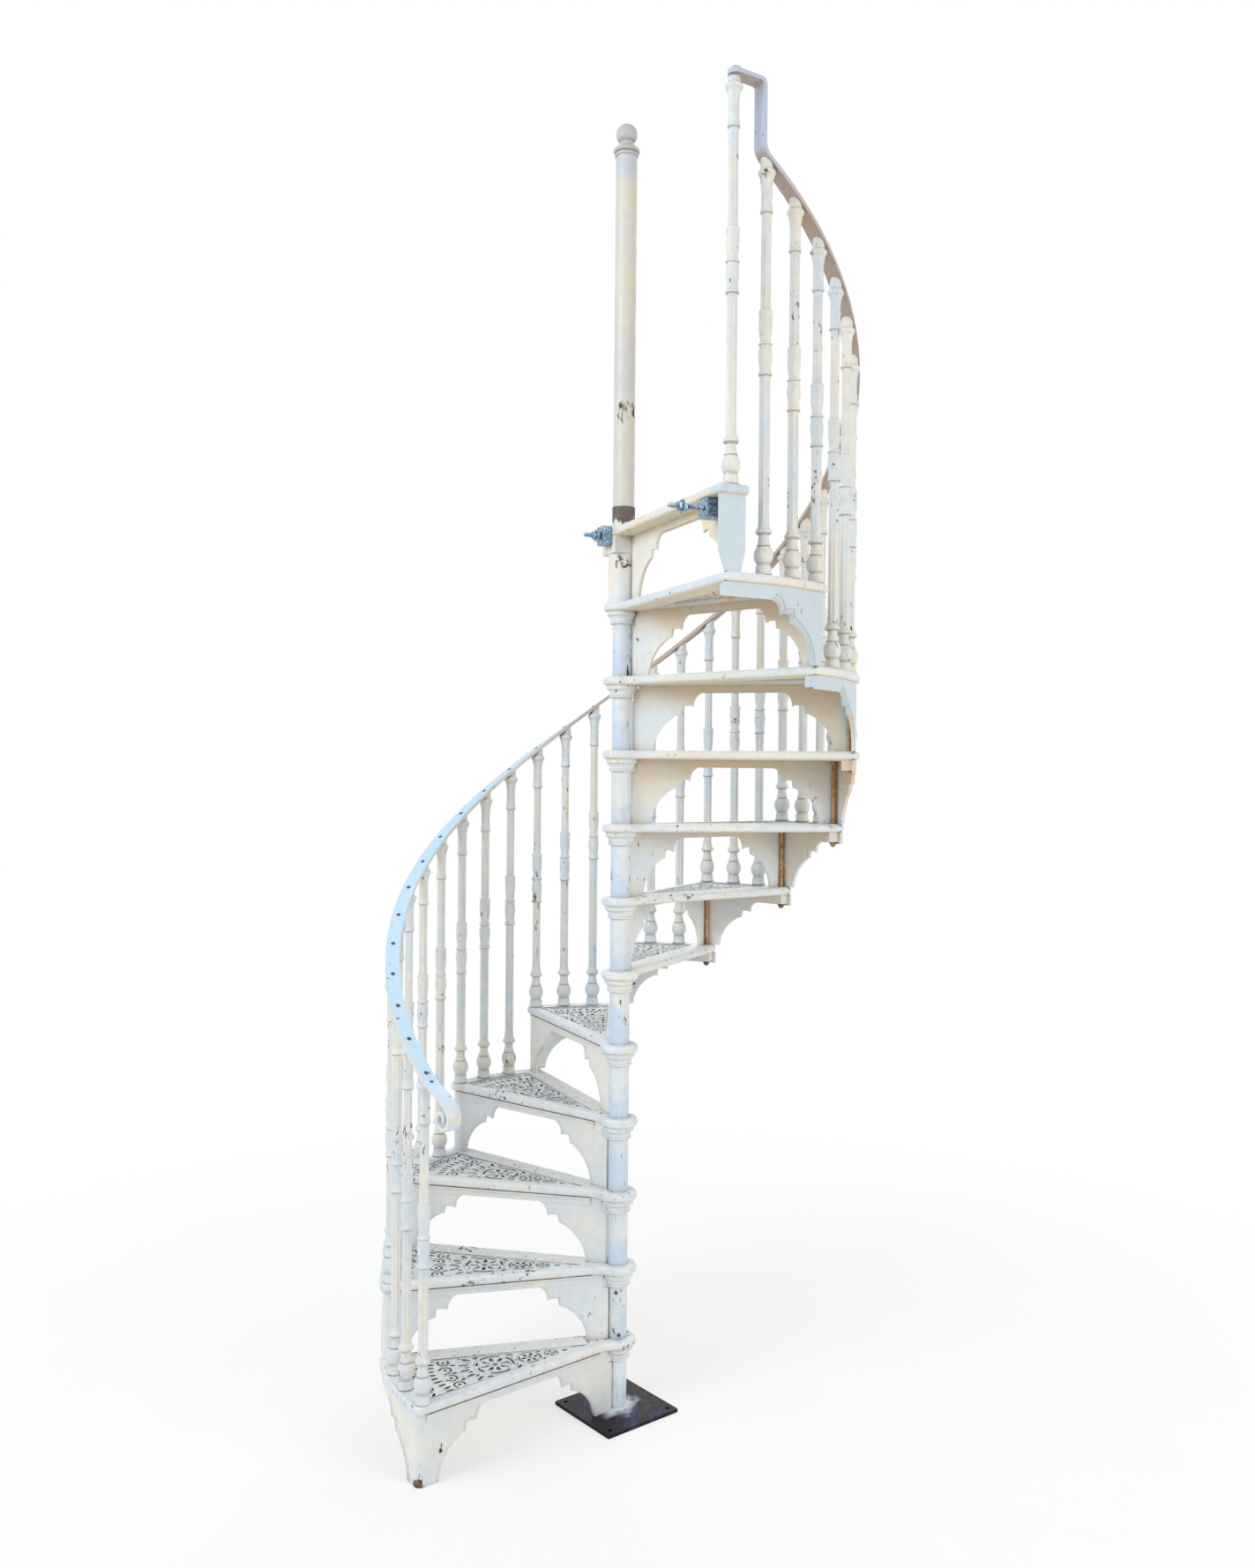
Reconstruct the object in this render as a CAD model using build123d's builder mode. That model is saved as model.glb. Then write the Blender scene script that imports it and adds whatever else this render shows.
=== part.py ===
from build123d import *
from math import atan, cos, degrees, pi, radians, sin, sqrt, tan
import os

# A cast-iron spiral stair: pierced fan-shaped treads on a central column, each carried at its
# outer corner by the fretwork riser below it, with turned balusters and a flat helical handrail.
# The origin is the centre of the base plate's underside, on the column's axis.
# Seen from above the stair climbs clockwise.

# ---------------------------------------------------------------- driving dimensions (mm)
riser_height = 206
step_angle = 26
first_angle = 220          # direction of the first nosing, anticlockwise from +X
tread_count = 11

tread_radius = 658
tread_edge = 24            # depth of a tread's rounded rim and hub
field_plate = 9            # thickness of the pierced field inside the rim
field_recess = 2           # how far the field lies below the rim
nosing_offset = 23         # front edge, ahead of the step's own ray
rear_offset = 25           # rear edge, behind the next step's ray
front_rim = 28
rear_rim = 65
outer_rim = 55
sweep_radius = 60          # concave sweep from the nosing into the hub
tread_corner = 16
edge_round = 9

hub_radius = 53
capital_radius = 43.5
capital_height = 35
sleeve_radius = 28
pole_radius = 21
pole_clearance = 0.3
column_gap = 3             # between the column sleeve and each riser's inner edge

web_thickness = 8
web_setback = 8            # web's front face, behind the nosing
side_radius = tread_radius - web_setback       # outer face of the side web
web_corner = 16
foot_width = 57
arch_crown = 163
front_bow = 38             # radius of the arch's upper corners
side_crown = 148
side_bow = 30

rail_radius = tread_radius - 28
rod_radius = 5
rod_clearance = 0.3
boss_size = 34
boss_height = 28
nut_height = 16
nut_radius = 10

baluster_height = 822      # shortest baluster, at the rail's centre line
baluster_middle = 343      # foot of its two middle vases
balusters_per_tread = 3
baluster_foot = 23.5
landing_baluster_height = 962
landing_baluster_middle = 453
seat_gap = 0.5             # under the sloping handrail

rail_width = 38
rail_thickness = 10
rail_creep = 2.5           # the rail's extra climb at each step, past the risers'
rail_lead = 1.6            # degrees of rail below the first baluster
rail_tail = 0.3            # degrees of rail past the last stair baluster
rail_bend = 40
rail_elbow = 12
rail_cap_radius = 19       # domed cap at the rail's upper end
rail_cap_height = 12
joint_gap = 0.3            # between the handrail and the pieces at its ends

plate_size = 248
plate_thickness = 9
plate_turn = 39            # sides of the plate, anticlockwise from the row axes
plate_hole_radius = 6
plate_hole_pitch = 204

newel_radius = 30.15
newel_wall = 4
newel_length = 979
coupling_radius = 32
coupling_height = 62
coupling_seat = 8          # how far the pole stands into the coupling
coupling_spigot = 40       # how far the coupling stands into the newel
finial_radius = 30
finial_height = 63         # centre of the ball, above the newel's end
finial_ledge = 4           # collar, past the newel's side

landing_rear = 44          # landing strip, behind the last riser's ray
landing_front = 42         # and ahead of it
leg_rear = 38              # landing leg at its head, behind the ray
leg_front = 31
leg_foot_rear = 22         # and at its foot
leg_foot_front = 20
leg_taper = 50             # height of the leg's tapered foot
landing_sleeve_foot = 41   # radius of the landing's tapered sleeve, at its foot
landing_sleeve_top = 43
landing_head = 2 * landing_rear        # square head of that sleeve, under the strip
landing_head_height = 46

outer_stud = tread_radius - 86      # axis of the outer stud, along the last ray
bracket_width = 46
inner_bracket_height = 52
inner_bracket_depth = 28
inner_bracket_drop = 21.5  # its middle, below the strip's top
outer_bracket_height = 46
outer_bracket_depth = 52
outer_nut_seat = 94        # first nut, from the back of the riser's web
washer_radius = 17
washer_depth = 3
stud_radius = 6
stud_tip = 24              # free end of each stud, past its last nut
nut_size = 11.5            # from a nut's axis to its corners
nut_depth = 10

top_number = tread_count + 1
pitch = (riser_height + rail_creep) * 360 / step_angle
rail_slope = degrees(atan(pitch / (2 * pi * rail_radius)))
next_ray = Vector(cos(radians(step_angle)), -sin(radians(step_angle)), 0)
next_front = Vector(sin(radians(step_angle)), cos(radians(step_angle)), 0)
web_front = nosing_offset - web_setback
web_inner = sleeve_radius + column_gap
web_outer = side_radius - column_gap
web_height = riser_height - tread_edge
rod_hole = rod_radius + rod_clearance
pole_bore = pole_radius + pole_clearance
on_seat = (Align.CENTER, Align.CENTER, Align.MIN)

os.makedirs("parts", exist_ok=True)


def step_plane(number, drop=0):
    """The frame of a step: X along its ray, Y towards the climber, Z up from its tread's top."""
    level = Plane((0, 0, number * riser_height - drop))
    return level.rotated((0, 0, first_angle - (number - 1) * step_angle))


def save(builder, label):
    """Label a finished piece and write its STEP file."""
    builder.part.label = label
    export_step(builder.part, f"parts/{label}.step")


# ---------------------------------------------------------------- base plate and column
with BuildPart(Plane.XY.rotated((0, 0, plate_turn))) as base_plate:
    Box(plate_size, plate_size, plate_thickness, align=on_seat)
    fillet(base_plate.edges().filter_by(Axis.Z), radius=4)
    chamfer(base_plate.faces().sort_by(Axis.Z)[-1].edges(), length=1)
    with GridLocations(plate_hole_pitch, plate_hole_pitch, 2, 2):
        Hole(plate_hole_radius)
save(base_plate, "base_plate")

pole_top = top_number * riser_height + coupling_seat
with BuildPart(Plane.XY.offset(plate_thickness)) as centre_pole:
    Cylinder(pole_radius, pole_top - plate_thickness, align=on_seat)
    chamfer(centre_pole.edges().sort_by(Axis.Z)[-1], length=1.5)
save(centre_pole, "centre_pole")


def sleeve_profile(bottom, top):
    """Half section of a column sleeve with its moulded capital under the next hub."""
    neck = top - capital_height
    with BuildLine() as profile:
        Polyline((sleeve_radius, neck), (sleeve_radius + 6, neck))
        RadiusArc((sleeve_radius + 6, neck), (sleeve_radius + 6, neck + 6), -3.2)
        Line((sleeve_radius + 6, neck + 6), (sleeve_radius + 7, neck + 8))
        RadiusArc((sleeve_radius + 7, neck + 8), (capital_radius - 3, top - 12), 16)
        Polyline((capital_radius - 3, top - 12), (capital_radius, top - 11), (capital_radius, top))
        Polyline(
            (capital_radius, top),
            (pole_bore, top),
            (pole_bore, bottom),
            (sleeve_radius, bottom),
            (sleeve_radius, neck),
        )
    make_face(profile.edges())


with BuildPart() as column_sleeves:
    for number in range(1, top_number):
        top = number * riser_height - tread_edge
        bottom = plate_thickness if number == 1 else (number - 1) * riser_height
        with BuildSketch(Plane.XZ):
            sleeve_profile(bottom, top)
        revolve(axis=Axis.Z)
save(column_sleeves, "column_sleeves")


# ---------------------------------------------------------------- pierced treads
def tread_outline(front, rear_line):
    """Plan of a tread: a fan between a front edge and a rear line, swept into the round hub."""
    reach = 2 * tread_radius
    Circle(tread_radius)
    with BuildLine() as fan:
        Polyline((0, front), (reach, front), *rear_line(reach), close=True)
    make_face(fan.edges(), mode=Mode.INTERSECT)
    Circle(hub_radius)


def fan_rear(reach):
    """Rear line of a fan tread, parallel to the next step's ray."""
    near = next_front * -rear_offset
    far = near + next_ray * reach
    return (far.X, far.Y), (near.X, near.Y)


def strip_rear(reach):
    """Rear line of the landing strip, parallel to its own ray."""
    return (reach, -landing_rear), (0, -landing_rear)


def round_outline(sketch):
    """Sweep the long edges into the hub and round the two outer corners."""
    hub_corners = sketch.vertices().filter_by(lambda v: abs(Vector(v).length - hub_radius) < 0.01)
    fillet(hub_corners, radius=sweep_radius)
    rim_corners = sketch.vertices().filter_by(lambda v: abs(Vector(v).length - tread_radius) < 0.01)
    fillet(rim_corners, radius=tread_corner)


# the field is a wedge between two border lines that meet at its point
field_front = nosing_offset - front_rim
field_rear = rear_rim - rear_offset
field_point = Vector((field_rear - field_front * next_front.Y) / next_front.X, field_front)
field_plane = Plane(field_point).rotated((0, 0, -step_angle / 2))
half_wedge = radians(step_angle / 2)
field_outer = tread_radius - outer_rim


def field_outline():
    """The recessed, pierced part of a tread."""
    reach = 2 * tread_radius
    far = field_point + next_ray * reach
    with BuildLine() as wedge:
        Polyline((field_point.X, field_point.Y), (reach, field_front), (far.X, far.Y), close=True)
    make_face(wedge.edges())
    Circle(field_outer, mode=Mode.INTERSECT)


medallion_x = 0.451 * field_outer   # centre of the large rosette, from the field's point
medallion_border = 5
ring_ratio = (1 - sin(half_wedge)) / (1 + sin(half_wedge))


def pointed_leaf(length, width):
    """One leaf-shaped piercing, between two arcs along X."""
    with BuildSketch() as shape:
        with BuildLine():
            ThreePointArc((-length / 2, 0), (0, width / 2), (length / 2, 0))
            ThreePointArc((length / 2, 0), (0, -width / 2), (-length / 2, 0))
        make_face()
    return shape.sketch


def rosette(x, petals):
    """A ring of leaves inside four bowed slots, in a circle that touches both borders."""
    radius = x * sin(half_wedge) - medallion_border
    slot_angle = 64
    for quarter in range(4):
        start = 90 * quarter - slot_angle / 2
        bow = CenterArc((x, 0), 0.88 * radius, start, slot_angle, mode=Mode.PRIVATE)
        SlotArc(bow, 0.11 * radius)
    petal = pointed_leaf(0.46 * radius, 0.58 * radius * sin(pi / petals))
    with Locations((x, 0)):
        Circle(0.12 * radius)
        with PolarLocations(0.49 * radius, petals):
            add(petal)


def fan(count, reach, half_spread, length, width):
    """Leaves that spread from the large rosette towards the wide end."""
    shape = pointed_leaf(length, width)
    with Locations((medallion_x, 0)):
        with PolarLocations(reach * medallion_x, count, -half_spread, 2 * half_spread, endpoint=True):
            add(shape)


def leaf(x, y, length, width, turn):
    """A turned leaf and its mirror image across the tread's middle line."""
    shape = pointed_leaf(length, width)
    with Locations(Pos(x * medallion_x, y * medallion_x) * Rot(Z=turn)):
        add(shape)
    with Locations(Pos(x * medallion_x, -y * medallion_x) * Rot(Z=-turn)):
        add(shape)


def scroll(x, y, radius, start, sweep):
    """A C-scroll piercing with a round eye, and its mirror image."""
    for side in (1, -1):
        middle = (x * medallion_x, side * y * medallion_x)
        bow = CenterArc(middle, radius, side * start, side * sweep, mode=Mode.PRIVATE)
        SlotArc(bow, 5)
        with Locations(middle):
            Circle(0.34 * radius)


def middle_leaf(x, length, width):
    """A leaf along the tread's middle line."""
    shape = pointed_leaf(length, width)
    with Locations((x * medallion_x, 0)):
        add(shape)


# leaves and scrolls are placed in shares of the large rosette's distance
with BuildSketch() as pierced_pattern:
    rosette(medallion_x, 8)
    rosette(medallion_x * ring_ratio, 6)
    rosette(medallion_x * ring_ratio**2, 4)
    middle_leaf(ring_ratio**3, 20, 8)
    # in the gaps between the circles and the borders
    leaf(0.795, 0.140, 26, 8, 38)
    leaf(0.800, 0.085, 15, 6, 60)
    leaf(0.505, 0.083, 14, 5.5, 38)
    leaf(1.132, 0.216, 22, 8, -8)
    # from the large rosette to the wide end
    fan(5, 0.315, 43, 30, 11)
    fan(4, 0.275, 32, 16, 6)
    scroll(1.485, 0.090, 15, 20, 250)
    scroll(1.455, 0.245, 14, -200, 250)
    leaf(1.385, 0.160, 18, 8, 24)
    middle_leaf(1.455, 40, 13)
    fan(8, 0.640, 24, 26, 10)
    leaf(1.575, 0.322, 26, 9, 14)
    scroll(1.765, 0.070, 11, -60, 240)
    scroll(1.755, 0.215, 11, -60, 240)
    leaf(1.745, 0.345, 24, 8, 62)
    leaf(1.765, 0.143, 20, 7, 8)
    leaf(1.755, 0.282, 20, 7, 16)
    middle_leaf(1.775, 24, 9)


with BuildPart() as tread_casting:
    with BuildSketch() as tread_plan:
        tread_outline(nosing_offset, fan_rear)
        round_outline(tread_plan)
    extrude(amount=-tread_edge)
    rims = tread_casting.faces().filter_by(Axis.Z).sort_by(Axis.Z)
    fillet(rims[0].edges() + rims[-1].edges(), radius=edge_round)
    with BuildSketch():
        field_outline()
    extrude(amount=-field_recess, mode=Mode.SUBTRACT)
    with BuildSketch(Plane.XY.offset(-tread_edge)):
        field_outline()
    extrude(amount=tread_edge - field_recess - field_plate, mode=Mode.SUBTRACT)
    extrude(
        field_plane.location * pierced_pattern.sketch,
        amount=-tread_edge,
        mode=Mode.SUBTRACT,
    )
    Hole(pole_bore)
    with Locations(next_ray * rail_radius):
        Hole(rod_hole)

for number in range(1, tread_count + 1):
    with BuildPart(step_plane(number)) as tread:
        add(tread_casting.part)
    save(tread, f"tread_{number:02d}")


# ---------------------------------------------------------------- landing strip
with BuildPart() as strip_casting:
    with BuildSketch() as strip_plan:
        tread_outline(landing_front, strip_rear)
        round_outline(strip_plan)
    extrude(amount=-tread_edge)
    rims = strip_casting.faces().filter_by(Axis.Z).sort_by(Axis.Z)
    fillet(rims[0].edges() + rims[-1].edges(), radius=edge_round)
    # the hub is cut off flush with the strip's rear
    hub_back = Plane((0, -landing_rear, 0), z_dir=(0, 1, 0))
    split(bisect_by=hub_back, keep=Keep.TOP)
    Hole(pole_bore)
with BuildPart(step_plane(top_number)) as landing_strip:
    add(strip_casting.part)
save(landing_strip, "landing_strip")


# ---------------------------------------------------------------- fretwork risers
cut_margin = 2             # how far a cutting solid runs past what it cuts


def fretwork_opening(half_span, crown, bow):
    """Right half of a stepped arch, from its middle line to the inside of a foot."""
    step = crown - bow
    cusp = half_span - 114
    shoulder = half_span - 83
    spring = step - 23
    with BuildLine() as edge:
        Line((0, crown), (cusp - bow, crown))
        RadiusArc((cusp - bow, crown), (cusp, step), bow)
        Polyline(
            (cusp, step),
            (cusp + 1, step - 4),
            (cusp + 6, step),
            (shoulder, step),
            (shoulder + 3, spring + 1),
            (shoulder + 10, spring),
        )
        ThreePointArc((shoulder + 10, spring), (half_span - 30, 0.7 * spring), (half_span, 0))
        Polyline((half_span, 0), (half_span, -cut_margin), (0, -cut_margin), (0, crown))
    make_face(edge.edges())


def web_plan(rear_line, inner_edge):
    """Plan of a riser: a straight front web that turns the outer corner into the side web."""
    reach = 2 * tread_radius
    with BuildSketch() as plan:
        Circle(side_radius)
        with BuildLine() as fan:
            Polyline((0, web_front), (reach, web_front), *rear_line(reach), close=True)
        make_face(fan.edges(), mode=Mode.INTERSECT)
        with BuildSketch(mode=Mode.SUBTRACT):
            Circle(side_radius - web_thickness)
            with Locations((0, web_front - web_thickness)):
                Rectangle(2 * reach, reach, align=(Align.CENTER, Align.MAX), mode=Mode.INTERSECT)
        with Locations((inner_edge, 0)):
            Rectangle(reach, reach, align=(Align.MAX, Align.CENTER), mode=Mode.SUBTRACT)
        fillet(plan.vertices().sort_by(Axis.Y)[-2:].sort_by(Axis.X)[-1], radius=web_corner)
    return plan.sketch


front_gap_plane = Plane((web_inner / 2 + web_outer / 2, web_front + cut_margin, 0), (1, 0, 0), (0, -1, 0))
side_gap_plane = Plane(
    next_ray * side_radius,
    (sin(half_wedge), cos(half_wedge), 0),
    (cos(half_wedge), -sin(half_wedge), 0),
)
front_half_span = (web_outer - web_inner) / 2 - foot_width
side_half_span = radians(step_angle) * side_radius - foot_width + web_front


with BuildSketch(front_gap_plane) as front_gap:
    fretwork_opening(front_half_span, arch_crown, front_bow)
    mirror(about=Plane.YZ)
with BuildSketch(Plane.XY.offset(web_height)) as capital_notch:
    Circle(capital_radius + column_gap)

with BuildPart() as riser_casting:
    with BuildSketch():
        add(web_plan(fan_rear, web_inner))
    extrude(amount=web_height)
    extrude(front_gap.sketch, amount=web_thickness + 2 * cut_margin, mode=Mode.SUBTRACT)
    extrude(capital_notch.sketch, amount=-capital_height - column_gap, mode=Mode.SUBTRACT)
    with BuildSketch(side_gap_plane):
        fretwork_opening(side_half_span, side_crown, side_bow)
        with Locations((0, -cut_margin)):
            Rectangle(
                2 * rear_offset,
                side_crown + cut_margin,
                align=(Align.MAX, Align.MIN),
            )
    extrude(amount=2 * rear_offset, both=True, mode=Mode.SUBTRACT)
    with BuildSketch(Plane.XY.offset(web_height)):
        with Locations(next_ray * rail_radius):
            Rectangle(boss_size, boss_size, rotation=-step_angle)
    extrude(amount=-boss_height)
    with Locations(next_ray * rail_radius):
        Hole(rod_hole)

for number in range(1, tread_count + 1):
    with BuildPart(step_plane(number, riser_height)) as riser:
        add(riser_casting.part)
        if number == 1:
            with Locations(Plane.XY.rotated((0, 0, plate_turn))):
                Box(plate_size, plate_size, 2 * plate_thickness, mode=Mode.SUBTRACT)
    save(riser, f"riser_{number:02d}")


# ---------------------------------------------------------------- landing riser
with BuildPart() as leg_casting:
    # curved side plate, tapered at its foot
    with BuildSketch():
        Circle(side_radius)
        Circle(side_radius - web_thickness, mode=Mode.SUBTRACT)
    extrude(amount=web_height)
    with BuildSketch(Plane.YZ):
        with BuildLine():
            Polyline(
                (-leg_foot_rear, 0),
                (leg_foot_front, 0),
                (leg_front, leg_taper),
                (leg_front, web_height),
                (-leg_rear, web_height),
                (-leg_rear, leg_taper),
                close=True,
            )
        make_face()
    extrude(amount=side_radius, mode=Mode.INTERSECT)
    # straight web with the same fretwork as the other risers
    web_start = landing_sleeve_top + column_gap
    with BuildSketch():
        with Locations((web_start, web_front)):
            Rectangle(
                side_radius - web_thickness / 2 - web_start,
                web_thickness,
                align=(Align.MIN, Align.MAX),
            )
    extrude(amount=web_height)
    extrude(front_gap.sketch, amount=web_thickness + 2 * cut_margin, mode=Mode.SUBTRACT)
with BuildPart(step_plane(top_number, riser_height)) as landing_riser:
    add(leg_casting.part)
save(landing_riser, f"riser_{top_number:02d}")


# ---------------------------------------------------------------- balusters
def baluster_solid(height, mid, sloped):
    """A turned baluster, its middle vases at a given height, cut to the rail's slope."""
    low = 126
    with BuildPart() as baluster:
        with BuildSketch(Plane.XZ):
            with BuildLine():
                # foot, bulb and neck
                Polyline((0, 0), (baluster_foot, 0), (baluster_foot, 11), (21, 15))
                ThreePointArc((21, 15), (17, 19), (17, 25))
                ThreePointArc((17, 25), (24, 44), (18.5, 62))
                ThreePointArc((18.5, 62), (13.5, 78), (13, 98))
                ThreePointArc((13, 98), (20, 104), (17.5, 110))
                ThreePointArc((17.5, 110), (14.5, 116), (13.5, low))
                # lower shaft and the two vases of the middle
                Polyline((13.5, low), (13, mid - 4), (15, mid - 3))
                ThreePointArc((15, mid - 3), (17, mid + 1), (15, mid + 5))
                ThreePointArc((15, mid + 5), (14, mid + 14), (15, mid + 26))
                ThreePointArc((15, mid + 26), (16.8, mid + 50), (14, mid + 66))
                Line((14, mid + 66), (14.5, mid + 69))
                ThreePointArc((14.5, mid + 69), (17, mid + 73), (14.5, mid + 77))
                Polyline((14.5, mid + 77), (13, mid + 80), (13, mid + 86))
                ThreePointArc((13, mid + 86), (16, mid + 108), (15.5, mid + 142))
                Polyline((15.5, mid + 142), (17, mid + 146), (16.5, mid + 153), (12.5, mid + 156))
                # upper shaft, band, capital and block
                Polyline((12.5, mid + 156), (12, height - 123), (14, height - 121))
                ThreePointArc((14, height - 121), (16, height - 118), (14.5, height - 114))
                Polyline(
                    (14.5, height - 114),
                    (12.5, height - 85),
                    (13.5, height - 83),
                    (13.5, height - 77),
                )
                ThreePointArc((13.5, height - 77), (14, height - 54), (18, height - 32))
                ThreePointArc((18, height - 32), (21.5, height - 24), (18, height - 17))
                Polyline(
                    (18, height - 17),
                    (15.5, height - 15),
                    (15.5, height + rail_width),
                    (0, height + rail_width),
                    (0, 0),
                )
            make_face()
        revolve(axis=Axis.Z)
        seat = Plane((0, 0, height - seat_gap))
        if sloped:
            seat = seat.rotated((-rail_slope, 0, 0))
        split(bisect_by=seat, keep=Keep.BOTTOM)
    return baluster.part


def baluster_place(number, index):
    """Where a baluster stands: on its tread's rim, a third of a step after the one before."""
    turned = step_plane(number).rotated((0, 0, -index * step_angle / balusters_per_tread))
    return turned * Pos(rail_radius, 0, 0)


for index, label in enumerate(("short", "middle", "tall")):
    share = index / balusters_per_tread
    rise = share * riser_height
    with BuildPart() as balusters:
        for number in range(1, tread_count + 1):
            height = baluster_height + rise + rail_creep * (number - 1 + share)
            with Locations(baluster_place(number, index)):
                add(baluster_solid(height, baluster_middle + rise, True))
    save(balusters, f"balusters_{label}")

with BuildPart() as landing_baluster:
    with Locations(baluster_place(top_number, 0)):
        add(baluster_solid(landing_baluster_height, landing_baluster_middle, False))
save(landing_baluster, "baluster_landing")


# ---------------------------------------------------------------- tie rods
with BuildPart() as tie_rod:
    bottom = -tread_edge - boss_height
    dome = nut_radius - 2
    with BuildSketch(Plane.XZ):
        with BuildLine():
            Polyline(
                (0, web_height),
                (rod_radius, web_height),
                (rod_radius, bottom),
                (nut_radius + 2, bottom),
                (nut_radius + 2, bottom - 2),
                (nut_radius, bottom - 2),
                (nut_radius, bottom - nut_height + dome),
                (dome, bottom - nut_height + dome),
            )
            CenterArc((0, bottom - nut_height + dome), dome, 0, -90)
            Line((0, bottom - nut_height), (0, web_height))
        make_face()
    revolve(axis=Axis.Z)

with BuildPart() as tie_rods:
    for number in range(1, top_number):
        with Locations(step_plane(number).rotated((0, 0, -step_angle)) * Pos(rail_radius, 0, 0)):
            add(tie_rod.part)
save(tie_rods, "tie_rods")


# ---------------------------------------------------------------- handrail
rail_run = step_angle * (tread_count - 1 / balusters_per_tread) + rail_lead + rail_tail
rail_start = riser_height + baluster_height - pitch * rail_lead / 360
start_frame = Plane((0, 0, rail_start)).rotated((0, 0, first_angle + rail_lead))

with BuildPart() as rail_bar:
    with BuildLine() as rail_line:
        Helix(pitch, pitch * rail_run / 360, rail_radius, lefthand=True)
    with BuildSketch(Plane(rail_line.line @ 0, (1, 0, 0), rail_line.line % 0)):
        Rectangle(rail_width, rail_thickness, align=(Align.CENTER, Align.MIN))
    sweep(path=rail_line.line, is_frenet=True)
with BuildPart(start_frame) as handrail:
    add(rail_bar.part)
save(handrail, "handrail")

# volute at the foot of the rail: X runs down the stair, Y up, Z along the rail's width
volute_frame = Plane(
    start_frame.origin + start_frame.x_dir * (rail_radius - rail_width / 2),
    start_frame.y_dir,
    start_frame.x_dir,
)
slope_down = Vector(cos(radians(rail_slope)), -sin(radians(rail_slope)))
slope_up = Vector(sin(radians(rail_slope)), cos(radians(rail_slope)))
scroll_eye = slope_down * 104 - slope_up * 14


def curl_point(along, up):
    """A point of the volute from its eye, measured down the rail's slope and square to it."""
    return scroll_eye + slope_down * along + slope_up * up


with BuildPart() as rail_volute:
    with BuildSketch(volute_frame):
        with BuildLine() as curl:
            start = slope_up * (rail_thickness / 2)
            lead = Line(start + slope_down * joint_gap, start + slope_down * 38)
            bow = TangentArc(lead @ 1, curl_point(22, 21), tangent=lead % 1)
            under = TangentArc(bow @ 1, curl_point(-19, -13), tangent=bow % 1)
            over = TangentArc(under @ 1, curl_point(9, 9), tangent=under % 1)
            TangentArc(over @ 1, curl_point(2, -6), tangent=over % 1)
        trace(line_width=rail_thickness)
    extrude(amount=rail_width)
    with BuildSketch(volute_frame.offset(-2)):
        with Locations(scroll_eye):
            Circle(9)
    extrude(amount=rail_width + 4)
save(rail_volute, "rail_volute")

# upright bend that lifts the rail to the landing baluster
landing_rail = top_number * riser_height + landing_baluster_height
rail_end_angle = first_angle + rail_lead - rail_run
end_frame = Plane((0, 0, rail_start + pitch * rail_run / 360)).rotated((0, 0, rail_end_angle))
bend_reach = rail_radius * tan(radians(rail_end_angle - first_angle + tread_count * step_angle))
bend_frame = Plane(
    end_frame.origin + end_frame.x_dir * rail_radius,
    -end_frame.y_dir,
    -end_frame.x_dir,
)
with BuildPart() as rail_bend_bar:
    half = rail_thickness / 2
    top = landing_rail - bend_frame.origin.Z + half
    with BuildSketch(bend_frame.offset(-rail_width / 2)):
        with BuildLine() as rise:
            start = slope_up * half
            start = Vector(-start.X, start.Y)
            climb_way = Vector(slope_down.X, -slope_down.Y)
            climb = Line(start + climb_way * joint_gap, start + climb_way * 4)
            swing = JernArc(climb @ 1, climb % 1, rail_bend, 90 - rail_slope)
            upright = Line(swing @ 1, (swing @ 1).X * Vector(1, 0) + Vector(0, top - rail_elbow))
            elbow = JernArc(upright @ 1, upright % 1, rail_elbow, -90)
            Line(elbow @ 1, (bend_reach, top))
        trace(line_width=rail_thickness)
    extrude(amount=rail_width)
    cap_seat = bend_frame.origin + bend_frame.x_dir * bend_reach + Vector(0, 0, top - half)
    with BuildSketch(Plane(cap_seat)):
        Circle(rail_width / 2)
    extrude(amount=rail_thickness)
    # low domed cap over the rail's end
    dome_rise = rail_cap_height
    dome_sphere = (rail_cap_radius**2 + dome_rise**2) / (2 * dome_rise)
    with BuildPart(Plane(cap_seat).offset(rail_thickness), mode=Mode.PRIVATE) as cap_ball:
        with Locations((0, 0, dome_rise - dome_sphere)):
            Sphere(dome_sphere)
        split(bisect_by=Plane(cap_seat).offset(rail_thickness), keep=Keep.TOP)
    add(cap_ball.part)
save(rail_bend_bar, "rail_landing_bend")


# ---------------------------------------------------------------- newel above the landing
landing_level = top_number * riser_height
with BuildPart(Plane.XY.offset(landing_level)) as newel_coupling:
    Cylinder(coupling_radius, coupling_height, align=on_seat)
    with Locations((0, 0, coupling_height)):
        Cylinder(newel_radius - newel_wall - joint_gap, coupling_spigot, align=on_seat)
    Cylinder(pole_bore, coupling_seat, align=on_seat, mode=Mode.SUBTRACT)
save(newel_coupling, "newel_coupling")

newel_foot = landing_level + coupling_height
with BuildPart(Plane.XY.offset(newel_foot)) as newel_post:
    Cylinder(newel_radius, newel_length, align=on_seat)
    Cylinder(newel_radius - newel_wall, newel_length, align=on_seat, mode=Mode.SUBTRACT)
save(newel_post, "newel_post")

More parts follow.
